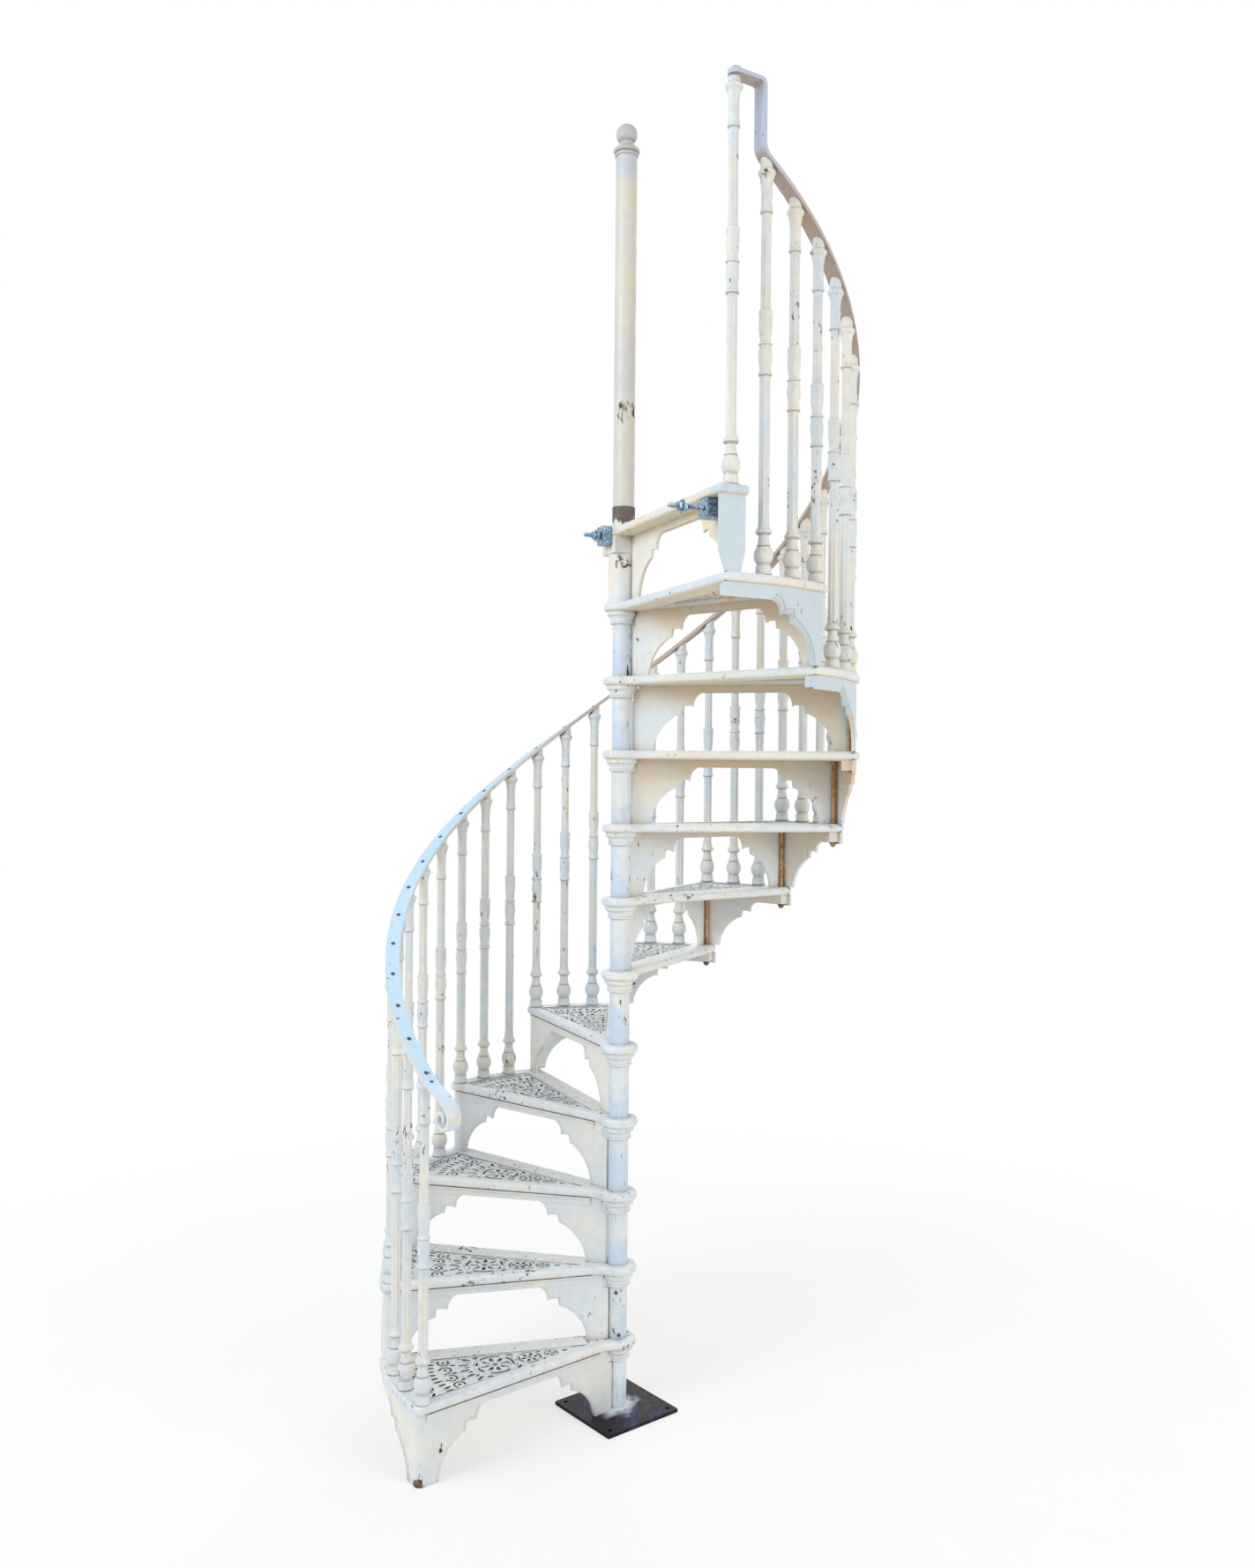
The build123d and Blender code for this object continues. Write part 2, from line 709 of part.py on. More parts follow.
with BuildPart() as finial:
    collar = newel_radius + finial_ledge
    neck_radius = 20
    neck_top = finial_height - sqrt(finial_radius**2 - neck_radius**2)
    with BuildSketch(Plane.XZ):
        with BuildLine():
            Polyline((0, 0), (collar, 0))
            ThreePointArc((collar, 0), (collar + 3, 5), (collar, 10))
            Polyline((collar, 10), (collar - 2, 12), (collar - 2, 22), (collar + 2, 24))
            ThreePointArc((collar + 2, 24), (collar + 4, 28), (collar + 2, 32))
            Polyline((collar + 2, 32), (neck_radius + 4, 36), (neck_radius, neck_top))
            ThreePointArc(
                (neck_radius, neck_top),
                (finial_radius, finial_height),
                (0, finial_height + finial_radius),
            )
            Line((0, finial_height + finial_radius), (0, 0))
        make_face()
    revolve(axis=Axis.Z)
with BuildPart(Plane.XY.offset(newel_foot + newel_length)) as newel_finial:
    add(finial.part)
save(newel_finial, "newel_finial")


# ---------------------------------------------------------------- landing sleeve and fixings
with BuildPart() as landing_newel:
    with BuildSketch(Plane.XZ):
        with BuildLine():
            Polyline(
                (pole_bore, 0),
                (landing_sleeve_foot + 4, 0),
                (landing_sleeve_foot + 4, 6),
                (landing_sleeve_foot, 10),
                (landing_sleeve_top, web_height),
                (pole_bore, web_height),
                close=True,
            )
        make_face()
    revolve(axis=Axis.Z)
    with BuildSketch(Plane.XY.offset(web_height)):
        Rectangle(landing_head, landing_head)
        Circle(pole_bore, mode=Mode.SUBTRACT)
    extrude(amount=-landing_head_height)
with BuildPart(step_plane(top_number, riser_height)) as landing_sleeve:
    add(landing_newel.part)
save(landing_sleeve, "landing_sleeve")


def fixing(height, depth, nut_seat):
    """Box bracket with a stud along +Y, and two nuts with a washer between them."""
    with BuildPart() as bracket:
        Box(bracket_width, depth, height, align=(Align.CENTER, Align.MIN, Align.CENTER))
        fillet(bracket.edges().filter_by(Axis.Y), radius=3)
        with BuildSketch(Plane.XZ):
            Circle(stud_radius)
        extrude(amount=-nut_seat - 2 * nut_depth - washer_depth - stud_tip)
        for seat in (nut_seat, nut_seat + nut_depth + washer_depth):
            with BuildSketch(Plane.XZ.offset(-seat)):
                RegularPolygon(nut_size, 6)
            extrude(amount=-nut_depth)
        with BuildSketch(Plane.XZ.offset(-nut_seat - nut_depth)):
            Circle(washer_radius)
        extrude(amount=-washer_depth)
    return bracket.part


# both studs point off the landing, square to the last riser
fixing_back = step_plane(top_number).rotated((0, 0, 180))
with BuildPart() as inner_fixing:
    with Locations(fixing_back * Pos(0, landing_rear, -inner_bracket_drop)):
        add(fixing(inner_bracket_height, inner_bracket_depth, inner_bracket_depth))
save(inner_fixing, "landing_fixing_inner")

outer_bracket_drop = tread_edge + outer_bracket_height / 2 + joint_gap
with BuildPart() as outer_fixing:
    with Locations(fixing_back * Pos(-outer_stud, web_thickness - web_front, -outer_bracket_drop)):
        add(fixing(outer_bracket_height, outer_bracket_depth, outer_nut_seat))
save(outer_fixing, "landing_fixing_outer")
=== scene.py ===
"""Finishes and fine detail of a cast-iron spiral stair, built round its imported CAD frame."""

import logging
import math
from collections.abc import Callable, Iterable, Sequence
from dataclasses import dataclass
from enum import Enum

import bmesh
import bpy
from mathutils import Matrix, Vector
from mathutils.geometry import interpolate_bezier

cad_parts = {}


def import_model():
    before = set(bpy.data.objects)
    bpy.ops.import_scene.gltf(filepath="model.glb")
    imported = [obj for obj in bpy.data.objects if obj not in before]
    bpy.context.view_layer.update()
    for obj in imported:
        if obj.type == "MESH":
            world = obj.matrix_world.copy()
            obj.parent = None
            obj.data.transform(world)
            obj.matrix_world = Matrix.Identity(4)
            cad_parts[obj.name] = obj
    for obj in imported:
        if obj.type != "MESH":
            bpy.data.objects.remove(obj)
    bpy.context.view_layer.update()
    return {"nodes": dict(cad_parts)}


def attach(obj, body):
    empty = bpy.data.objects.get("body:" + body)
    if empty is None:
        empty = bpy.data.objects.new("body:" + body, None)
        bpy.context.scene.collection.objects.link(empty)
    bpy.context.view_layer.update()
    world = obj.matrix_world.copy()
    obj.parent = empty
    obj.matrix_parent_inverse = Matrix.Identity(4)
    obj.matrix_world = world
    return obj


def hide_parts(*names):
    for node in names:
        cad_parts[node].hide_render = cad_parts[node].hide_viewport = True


log = logging.getLogger("spiral_stair")
Point = tuple[float, float, float]
Ring = tuple[float, float]
Colour = tuple[int, int, int]


# ---------------------------------------------------------------- the stair's own sizes
@dataclass(frozen=True)
class Layout:
    """Sizes shared by every sub-assembly, in metres and degrees."""

    rise: float = 0.206
    turn: float = 26.0
    first: float = 220.0
    treads: int = 11
    per_tread: int = 3
    rail_radius: float = 0.630
    rail_creep: float = 0.0025
    rail_thickness: float = 0.010
    shortest: float = 0.822
    tread_edge: float = 0.024
    side_radius: float = 0.650
    web_front: float = 0.015
    arch_middle: float = 0.339
    sleeve_radius: float = 0.028

    @property
    def landing(self) -> int:
        """Number of the landing step."""
        return self.treads + 1

    @property
    def slope(self) -> float:
        """Slope of the handrail in radians."""
        climb = (self.rise + self.rail_creep) * 360.0 / self.turn
        return math.atan(climb / (2.0 * math.pi * self.rail_radius))

    def step(self, number: int, drop: float = 0.0) -> Matrix:
        """Place of a step: X along its ray, Y towards the climber.

        Args:
            number: Step number, from 1.
            drop: How far below the tread's top the place lies.

        Returns:
            The place as a matrix.
        """
        turned = math.radians(self.first - (number - 1) * self.turn)
        lifted = Matrix.Translation((0.0, 0.0, number * self.rise - drop))
        return lifted @ Matrix.Rotation(turned, 4, "Z")

    def post(self, number: int, index: int) -> Matrix:
        """Place of a baluster's foot.

        Args:
            number: Step number, from 1.
            index: 0 to 2, from the nosing to the back of the tread.

        Returns:
            The place as a matrix, X pointing away from the column.
        """
        back = Matrix.Rotation(math.radians(-index * self.turn / self.per_tread), 4, "Z")
        return self.step(number) @ back @ Matrix.Translation((self.rail_radius, 0.0, 0.0))

    def seat_height(self, number: int, index: int) -> float:
        """Height of the rail's underside above a baluster's tread.

        Args:
            number: Step number, from 1.
            index: 0 to 2, from the nosing to the back of the tread.

        Returns:
            The height in metres.
        """
        share = index / self.per_tread
        return self.shortest + share * self.rise + self.rail_creep * (number - 1 + share)


class Slot(Enum):
    """Names of material slots in the record, which nothing in this script gives to the new pieces."""

    CREAM = "cream_paint"
    RAIL = "rail_paint"
    ZINC = "zinc_steel"
    ROD = "rod_steel"


# ---------------------------------------------------------------- shader graphs
def linear(red: int, green: int, blue: int) -> tuple[float, float, float, float]:
    """Turn a display colour into a shader colour.

    Args:
        red: Red, 0 to 255.
        green: Green, 0 to 255.
        blue: Blue, 0 to 255.

    Returns:
        The linear colour with full alpha.
    """
    parts = []
    for value in (red, green, blue):
        share = value / 255.0
        low = share / 12.92
        high = ((share + 0.055) / 1.055) ** 2.4
        parts.append(low if share <= 0.04045 else high)
    return (parts[0], parts[1], parts[2], 1.0)


class Graph:
    """A node material being put together."""

    def __init__(self, name: str) -> None:
        """Start a material with a shader and an output.

        Args:
            name: Name of the material.
        """
        self.material = bpy.data.materials.new(name)
        self.material.use_nodes = True
        self.tree = self.material.node_tree
        self.tree.nodes.clear()
        self.shader = self.tree.nodes.new("ShaderNodeBsdfPrincipled")
        self.output = self.tree.nodes.new("ShaderNodeOutputMaterial")
        self.tree.links.new(self.shader.outputs["BSDF"], self.output.inputs["Surface"])
        self.place = self.node("ShaderNodeTexCoord").outputs["Object"]

    def node(self, kind: str, inputs: dict | None = None, **settings: object) -> bpy.types.Node:
        """Add a node.

        Args:
            kind: Blender's name of the node type.
            inputs: Values or sockets for its inputs, by name or number.
            settings: Properties of the node.

        Returns:
            The new node.
        """
        made = self.tree.nodes.new(kind)
        for key, value in settings.items():
            setattr(made, key, value)
        for key, value in (inputs or {}).items():
            if isinstance(value, bpy.types.NodeSocket):
                self.tree.links.new(value, made.inputs[key])
            else:
                made.inputs[key].default_value = value
        return made

    def noise(
        self,
        scale: float,
        detail: float = 3.0,
        roughness: float = 0.5,
        stretch: Point | None = None,
        shift: Point = (0.0, 0.0, 0.0),
    ) -> bpy.types.NodeSocket:
        """Noise on the object's own coordinates.

        Args:
            scale: Blotches in each metre.
            detail: Octaves.
            roughness: Weight of the finer octaves.
            stretch: Share of the scale along each axis.
            shift: Offset of the pattern, in metres.

        Returns:
            The noise value.
        """
        vector = self.place
        if stretch is not None or any(shift):
            moved = {"Vector": self.place, "Location": shift, "Scale": stretch or (1.0, 1.0, 1.0)}
            vector = self.node("ShaderNodeMapping", moved).outputs["Vector"]
        wanted = {"Vector": vector, "Scale": scale, "Detail": detail, "Roughness": roughness}
        return self.node("ShaderNodeTexNoise", wanted).outputs["Fac"]

    def ramp(
        self, value: bpy.types.NodeSocket, low: float, high: float, peak: float = 1.0
    ) -> bpy.types.NodeSocket:
        """Smooth step from 0 at one value to a peak at another.

        Args:
            value: What is stepped.
            low: Value that gives 0.
            high: Value that gives the peak.
            peak: Greatest result.

        Returns:
            The stepped value.
        """
        wanted = {"Value": value, "From Min": low, "From Max": high, "To Max": peak}
        made = self.node("ShaderNodeMapRange", wanted, interpolation_type="SMOOTHSTEP")
        return made.outputs["Result"]

    def math(
        self,
        operation: str,
        first: bpy.types.NodeSocket | float,
        second: bpy.types.NodeSocket | float,
        share: bool = True,
    ) -> bpy.types.NodeSocket:
        """Join two values.

        Args:
            operation: Blender's name of the operation.
            first: First value.
            second: Second value.
            share: Whether the result is kept between 0 and 1.

        Returns:
            The result.
        """
        made = self.node("ShaderNodeMath", {0: first, 1: second}, operation=operation, use_clamp=share)
        return made.outputs["Value"]

    def inverse(self, share: bpy.types.NodeSocket) -> bpy.types.NodeSocket:
        """What a share leaves of 1."""
        return self.math("SUBTRACT", 1.0, share)

    def absolute(self, value: bpy.types.NodeSocket) -> bpy.types.NodeSocket:
        """A value without its sign."""
        return self.node("ShaderNodeMath", {0: value}, operation="ABSOLUTE").outputs["Value"]

    def height(self) -> bpy.types.NodeSocket:
        """Height above the floor, in metres."""
        return self.node("ShaderNodeSeparateXYZ", {"Vector": self.place}).outputs["Z"]

    def from_axis(self) -> bpy.types.NodeSocket:
        """Distance from the column's axis.

        Returns:
            The distance in metres.
        """
        wanted = {0: self.place, 1: (1.0, 1.0, 0.0)}
        flat = self.node("ShaderNodeVectorMath", wanted, operation="MULTIPLY").outputs["Vector"]
        return self.node("ShaderNodeVectorMath", {0: flat}, operation="LENGTH").outputs["Value"]

    def mix(
        self,
        share: bpy.types.NodeSocket | float,
        first: bpy.types.NodeSocket | Sequence[float],
        second: bpy.types.NodeSocket | Sequence[float],
    ) -> bpy.types.NodeSocket:
        """Mix two colours.

        Args:
            share: Weight of the second colour.
            first: First colour.
            second: Second colour.

        Returns:
            The mixed colour.
        """
        made = self.node("ShaderNodeMix", data_type="RGBA", blend_type="MIX")
        for number, value in ((0, share), (6, first), (7, second)):
            if isinstance(value, bpy.types.NodeSocket):
                self.tree.links.new(value, made.inputs[number])
            else:
                made.inputs[number].default_value = value
        return made.outputs[2]

    def hollows(self, reach: float) -> bpy.types.NodeSocket:
        """How deep a point lies in a corner, 0 in the open.

        Args:
            reach: How far away a wall still counts, in metres.

        Returns:
            The depth, 0 to 1.
        """
        found = self.node("ShaderNodeAmbientOcclusion", {"Distance": reach}, samples=5)
        return self.inverse(found.outputs["AO"])

    def edges(self, reach: float) -> bpy.types.NodeSocket:
        """How near a point lies to an outward edge.

        Args:
            reach: How far from the edge still counts, in metres.

        Returns:
            1 on the edge and 0 away from it.
        """
        wanted = {"Distance": reach}
        found = self.node("ShaderNodeAmbientOcclusion", wanted, samples=5, inside=True)
        return self.ramp(found.outputs["AO"], 0.30, 0.75)

    def facing(self) -> bpy.types.Node:
        """The surface's direction, split into its axes."""
        normal = self.node("ShaderNodeNewGeometry").outputs["Normal"]
        return self.node("ShaderNodeSeparateXYZ", {"Vector": normal})

    def bump(
        self,
        height: bpy.types.NodeSocket,
        strength: float,
        depth: float,
        under: bpy.types.NodeSocket | None = None,
    ) -> bpy.types.NodeSocket:
        """Turn a height into a normal.

        Args:
            height: Height pattern.
            strength: Weight, 0 to 1.
            depth: Height of a full step, in metres.
            under: Normal that this one adds to.

        Returns:
            The normal.
        """
        wanted: dict = {"Height": height, "Strength": strength, "Distance": depth}
        if under is not None:
            wanted["Normal"] = under
        return self.node("ShaderNodeBump", wanted).outputs["Normal"]

    def finish(
        self,
        colour: bpy.types.NodeSocket,
        roughness: bpy.types.NodeSocket,
        normal: bpy.types.NodeSocket,
        metal: bpy.types.NodeSocket | float = 0.0,
    ) -> bpy.types.Material:
        """Join the results to the shader.

        Args:
            colour: Base colour.
            roughness: Roughness.
            normal: Normal.
            metal: Metalness.

        Returns:
            The finished material.
        """
        self.tree.links.new(colour, self.shader.inputs["Base Color"])
        self.tree.links.new(roughness, self.shader.inputs["Roughness"])
        self.tree.links.new(normal, self.shader.inputs["Normal"])
        if isinstance(metal, bpy.types.NodeSocket):
            self.tree.links.new(metal, self.shader.inputs["Metallic"])
        else:
            self.shader.inputs["Metallic"].default_value = metal
        return self.material


# ---------------------------------------------------------------- finishes
@dataclass(frozen=True)
class WornPaint:
    """Old white paint on castings: yellowed and greyed in blotches, streaked, chipped and dirty, with painted
    light and shade by facing, by height and in corners.

    Heights and distances are in metres, and the other numbers are shares from 0 to 1. A height or
    distance of 9 m is past the stair's own and leaves that effect out.
    """

    name: str
    warm: Colour = (234, 232, 222)
    cool: Colour = (218, 228, 236)
    # Up- and down-facing tones: painted light on the tops and painted warm shade underneath.
    topside: Colour = (214, 223, 230)
    underside: Colour = (224, 204, 172)
    # Rain-washed colour, also used as a painted cool light on faces turned towards -X where they have no
    # colour of their own.
    weathered_and_west_lit: Colour = (200, 219, 236)
    # Yellowed paint higher up, which also stands as painted warm shade on the backs of the upper risers.
    aged_and_shaded: Colour = (238, 222, 190)
    # Soiling colours, also used for painted shade in hollows and under the treads; the second is the darkest.
    dirt_and_shade: Colour = (170, 146, 108)
    deep: Colour = (92, 70, 52)
    streak: Colour = (200, 192, 170)
    chip: Colour = (60, 46, 40)
    rust: Colour = (132, 96, 66)
    coolness: float = 0.5
    # How strongly faces turned towards -X take a painted light.
    west_light_share: float = 0.5
    # How much the paint yellows higher up, which also paints warm shade on the upper risers.
    ageing_and_shade: float = 0.6
    aged_and_shaded_heights: tuple[float, float] = (1.45, 1.95)
    # Soiling with painted shade in hollows: how strong, how far walls reach, where it starts, and the share
    # of the darkest colour.
    dirt_and_shade_amount: float = 0.6
    dirt_and_shade_reach: float = 0.030
    dirt_and_shade_start: float = 0.30
    depth_of_dirt_and_shade: float = 0.5
    # Painted shade under each tread on the risers: how strong it is, where it rises within a step, and how it
    # grows with height.
    band: float = 0.0
    band_rises: tuple[float, float] = (0.07, 0.185)
    band_grows: tuple[float, float] = (1.0, 1.9)
    band_low: float = 0.07
    band_high: float = 0.8
    pierced: float = 0.0
    plate_under_top: tuple[float, float] = (0.011, 0.007)
    streaks: float = 0.35
    chipping: float = 0.5
    chip_shape: Point = (1.0, 1.0, 1.0)
    edge_wear: float = 0.075
    patches: tuple[tuple[Point, float], ...] = ()
    patch_wear: float = 0.27
    cool_above: float = 9.0
    rinsed_from: float = 9.0
    rinsed_above: float = 1.80
    rinsing: float = 0.95
    # Own colour of the painted light on faces turned towards -X.
    west_light: Colour | None = None
    washed: float = 0.0
    washed_heights: tuple[float, float] = (0.10, 0.15)
    sound_above: tuple[float, float] = (1.0, 1.9)
    soundness: float = 0.0
    # Height above which the painted shade under the treads stops.
    unshaded_above: float = 9.0
    # Pale tone on the column's foot, a painted light that lifts the shade it stands in over the dark plate.
    lit_foot: Colour | None = None
    lit_foot_below: float = 0.17
    lit_foot_share: float = 0.85
    step: float = 0.206
    shine: float = 0.36

    def rinsed(self, graph: Graph) -> bpy.types.NodeSocket:
        """How far out and how high a point lies where rain keeps the paint unsoiled, 0 to 1.

        Args:
            graph: The material being put together.

        Returns:
            The share of unsoiled paint.
        """
        outer = graph.ramp(graph.from_axis(), self.rinsed_from, self.rinsed_from + 0.02)
        upper = graph.ramp(graph.height(), self.rinsed_above, self.rinsed_above + 0.15, self.rinsing)
        return graph.math("MULTIPLY", outer, upper)

    def ground(self, graph: Graph, height: bpy.types.NodeSocket) -> bpy.types.NodeSocket:
        """Mix the sound paint: blotched, with painted light on faces turned towards -X and on tops, painted
        shade underneath, yellowed and shaded higher up, and a painted light at the column's foot.

        Args:
            graph: The material being put together.
            height: Height above the floor.

        Returns:
            The paint's colour.
        """
        facing = graph.facing()
        middle = 0.66 - 0.32 * self.coolness
        blotch = graph.ramp(graph.noise(5.5, 4.0, 0.6), middle - 0.17, middle + 0.17)
        colour = graph.mix(blotch, linear(*self.warm), linear(*self.cool))
        # Painted light: faces turned towards -X are mixed to a cooler tone where sky light falls on them, and
        # on the risers to a lighter one.
        west = graph.math("MULTIPLY", facing.outputs["X"], -1.0)
        west_light = self.west_light or self.weathered_and_west_lit
        colour = graph.mix(graph.ramp(west, 0.35, 0.95, self.west_light_share), colour, linear(*west_light))
        if self.washed > 0.0:
            climbed = graph.math("MODULO", height, self.step)
            ragged = graph.ramp(graph.noise(7.0, 4.0, 0.6, shift=(1.0, 3.0, 6.0)), 0.3, 0.7, 0.10)
            low = graph.inverse(graph.ramp(graph.math("ADD", climbed, ragged), *self.washed_heights))
            colour = graph.mix(graph.math("MULTIPLY", low, self.washed), colour, linear(*self.weathered_and_west_lit))
        # Yellowed paint higher up, in patches; on the upper risers it also paints the warm shade on their
        # backs.
        patchy = graph.ramp(graph.noise(3.4, 2.0, 0.5, shift=(2.0, 7.0, 1.0)), 0.42, 0.60, self.ageing_and_shade)
        aged_and_shaded = graph.math("MULTIPLY", graph.ramp(height, *self.aged_and_shaded_heights), patchy)
        colour = graph.mix(aged_and_shaded, colour, linear(*self.aged_and_shaded))
        colour = graph.mix(self.rinsed(graph), colour, linear(*self.weathered_and_west_lit))
        # Painted light and shade by facing: up-facing faces are mixed to the top tone, and down-facing faces
        # to a warm underside tone.
        colour = graph.mix(graph.ramp(facing.outputs["Z"], 0.35, 0.9, 0.85), colour, linear(*self.topside))
        below = graph.math("MULTIPLY", facing.outputs["Z"], -1.0)
        colour = graph.mix(graph.ramp(below, 0.3, 0.9, 0.85), colour, linear(*self.underside))
        # Painted light: the column's foot is mixed towards a pale tone to lift the shade it stands in over
        # the dark plate.
        if self.lit_foot:
            foot = graph.inverse(graph.ramp(height, self.lit_foot_below - 0.05, self.lit_foot_below))
            colour = graph.mix(graph.math("MULTIPLY", foot, self.lit_foot_share), colour, linear(*self.lit_foot))
        top = graph.ramp(height, self.cool_above, self.cool_above + 0.05, 0.7)
        return graph.mix(top, colour, linear(*self.weathered_and_west_lit))

    def shaded(self, graph: Graph, height: bpy.types.NodeSocket) -> bpy.types.NodeSocket:
        """How strongly a riser takes painted shade near its top, under a tread.

        Args:
            graph: The material being put together.
            height: Height above the floor.

        Returns:
            The share of painted shade.
        """
        climbed = graph.math("MODULO", height, self.step)
        grown = graph.math("ADD", graph.ramp(height, *self.band_grows, self.band_high), self.band_low)
        shade = graph.math("MULTIPLY", graph.ramp(climbed, *self.band_rises, self.band), grown)
        shade = graph.math("MULTIPLY", shade, graph.inverse(self.rinsed(graph)))
        level = graph.inverse(graph.ramp(graph.facing().outputs["Z"], 0.5, 0.9))
        shade = graph.math("MULTIPLY", shade, level)
        unshaded = graph.inverse(graph.ramp(height, self.unshaded_above, self.unshaded_above + 0.02, 0.75))
        return graph.math("MULTIPLY", shade, unshaded)

    def pierced_walls(
        self, graph: Graph, height: bpy.types.NodeSocket, hollow: bpy.types.NodeSocket
    ) -> bpy.types.NodeSocket:
        """Where the walls of a tread's piercings lie, painted dark for old soiling and for the shade below
        the tread.

        Args:
            graph: The material being put together.
            height: Height above the floor.
            hollow: How deep a point lies in a corner.

        Returns:
            The share of dark soiling and painted shade.
        """
        upright = graph.inverse(graph.ramp(graph.absolute(graph.facing().outputs["Z"]), 0.3, 0.75))
        inside = graph.math("MULTIPLY", upright, graph.ramp(hollow, 0.10, 0.26, self.pierced))
        low, high = self.plate_under_top
        upper = graph.ramp(graph.math("MODULO", height, self.step), self.step - low, self.step - high)
        return graph.math("MULTIPLY", inside, upper)

    def soil(
        self, graph: Graph, colour: bpy.types.NodeSocket, height: bpy.types.NodeSocket
    ) -> bpy.types.NodeSocket:
        """Add the mottling, the runs, and the soiling with painted shade in corners and under the treads.

        Args:
            graph: The material being put together.
            colour: The sound paint.
            height: Height above the floor.

        Returns:
            The dirty paint.
        """
        mottle = graph.ramp(graph.noise(38.0, 4.0, 0.6, shift=(3.1, 0.4, 1.7)), 0.35, 0.7, 0.22)
        colour = graph.mix(mottle, colour, linear(*self.streak))
        run = graph.noise(1.0, 4.0, 0.6, stretch=(70.0, 70.0, 4.0))
        patch = graph.ramp(graph.noise(7.0, 2.0, shift=(0.0, 5.0, 2.0)), 0.40, 0.62)
        runs = graph.math("MULTIPLY", graph.ramp(run, 0.54, 0.72, self.streaks), patch)
        colour = graph.mix(runs, colour, linear(*self.streak))
        # Painted shade under each tread, on the risers, stronger higher up.
        if self.band > 0.0:
            colour = graph.mix(self.shaded(graph, height), colour, linear(*self.dirt_and_shade))
        # Hollows, creases and seams are darkened: soiling, with painted shade where the corners lie in shade.
        hollow = graph.hollows(self.dirt_and_shade_reach)
        uneven = graph.ramp(graph.noise(26.0, 4.0, 0.6), 0.25, 0.55)
        grime_and_shade = graph.ramp(hollow, self.dirt_and_shade_start, self.dirt_and_shade_start + 0.40, self.dirt_and_shade_amount)
        colour = graph.mix(graph.math("MULTIPLY", grime_and_shade, uneven), colour, linear(*self.dirt_and_shade))
        seam = graph.ramp(hollow, self.dirt_and_shade_start + 0.16, self.dirt_and_shade_start + 0.44, self.depth_of_dirt_and_shade)
        colour = graph.mix(graph.math("MULTIPLY", seam, uneven), colour, linear(*self.deep))
        # Walls of the piercings are darkened: old soiling, with painted shade from below the tread.
        if self.pierced > 0.0:
            colour = graph.mix(self.pierced_walls(graph, height, hollow), colour, linear(*self.deep))
        return colour

    def wear(self, graph: Graph, height: bpy.types.NodeSocket) -> bpy.types.NodeSocket:
        """How eagerly the paint chips, 0 to 1.

        Args:
            graph: The material being put together.
            height: Height above the floor.

        Returns:
            The eagerness.
        """
        speck = graph.noise(62.0, 6.0, 0.68, stretch=self.chip_shape, shift=(1.3, 2.2, 0.9))
        cluster = graph.ramp(graph.noise(5.2, 2.0, shift=(4.0, 1.0, 3.0)), 0.46, 0.66, 0.085)
        eager = graph.math("ADD", speck, cluster)
        eager = graph.math("ADD", eager, graph.math("MULTIPLY", graph.edges(0.006), self.edge_wear))
        eager = graph.math("SUBTRACT", eager, graph.ramp(height, *self.sound_above, self.soundness))
        for middle, reach in self.patches:
            away = graph.node("ShaderNodeVectorMath", {0: graph.place, 1: middle}, operation="DISTANCE")
            near = graph.inverse(graph.ramp(away.outputs["Value"], 0.3 * reach, reach))
            eager = graph.math("ADD", eager, graph.math("MULTIPLY", near, self.patch_wear))
        return eager

    def material(self) -> bpy.types.Material:
        """Build the paint's material.

        Returns:
            The material.
        """
        graph = Graph(self.name)
        height = graph.height()
        colour = self.soil(graph, self.ground(graph, height), height)
        eager = self.wear(graph, height)
        bar = 0.815 - 0.075 * self.chipping
        rim = graph.ramp(eager, bar - 0.022, bar, 0.8)
        bare = graph.ramp(eager, bar, bar + 0.012)
        colour = graph.mix(rim, colour, linear(*self.dirt_and_shade))
        rusted = graph.ramp(graph.noise(45.0, 3.0, shift=(0.0, 2.0, 5.0)), 0.42, 0.62)
        colour = graph.mix(bare, colour, graph.mix(rusted, linear(*self.chip), linear(*self.rust)))
        gloss = graph.ramp(graph.noise(30.0, 3.0), 0.3, 0.7, 0.16)
        roughness = graph.math("ADD", graph.math("ADD", gloss, self.shine), graph.math("MULTIPLY", bare, 0.3))
        normal = graph.bump(graph.noise(190.0, 3.0, 0.6), 0.22, 0.0006)
        normal = graph.bump(graph.noise(34.0, 3.0), 0.30, 0.0016, normal)
        normal = graph.bump(graph.inverse(bare), 0.7, 0.0007, normal)
        return graph.finish(colour, roughness, normal)


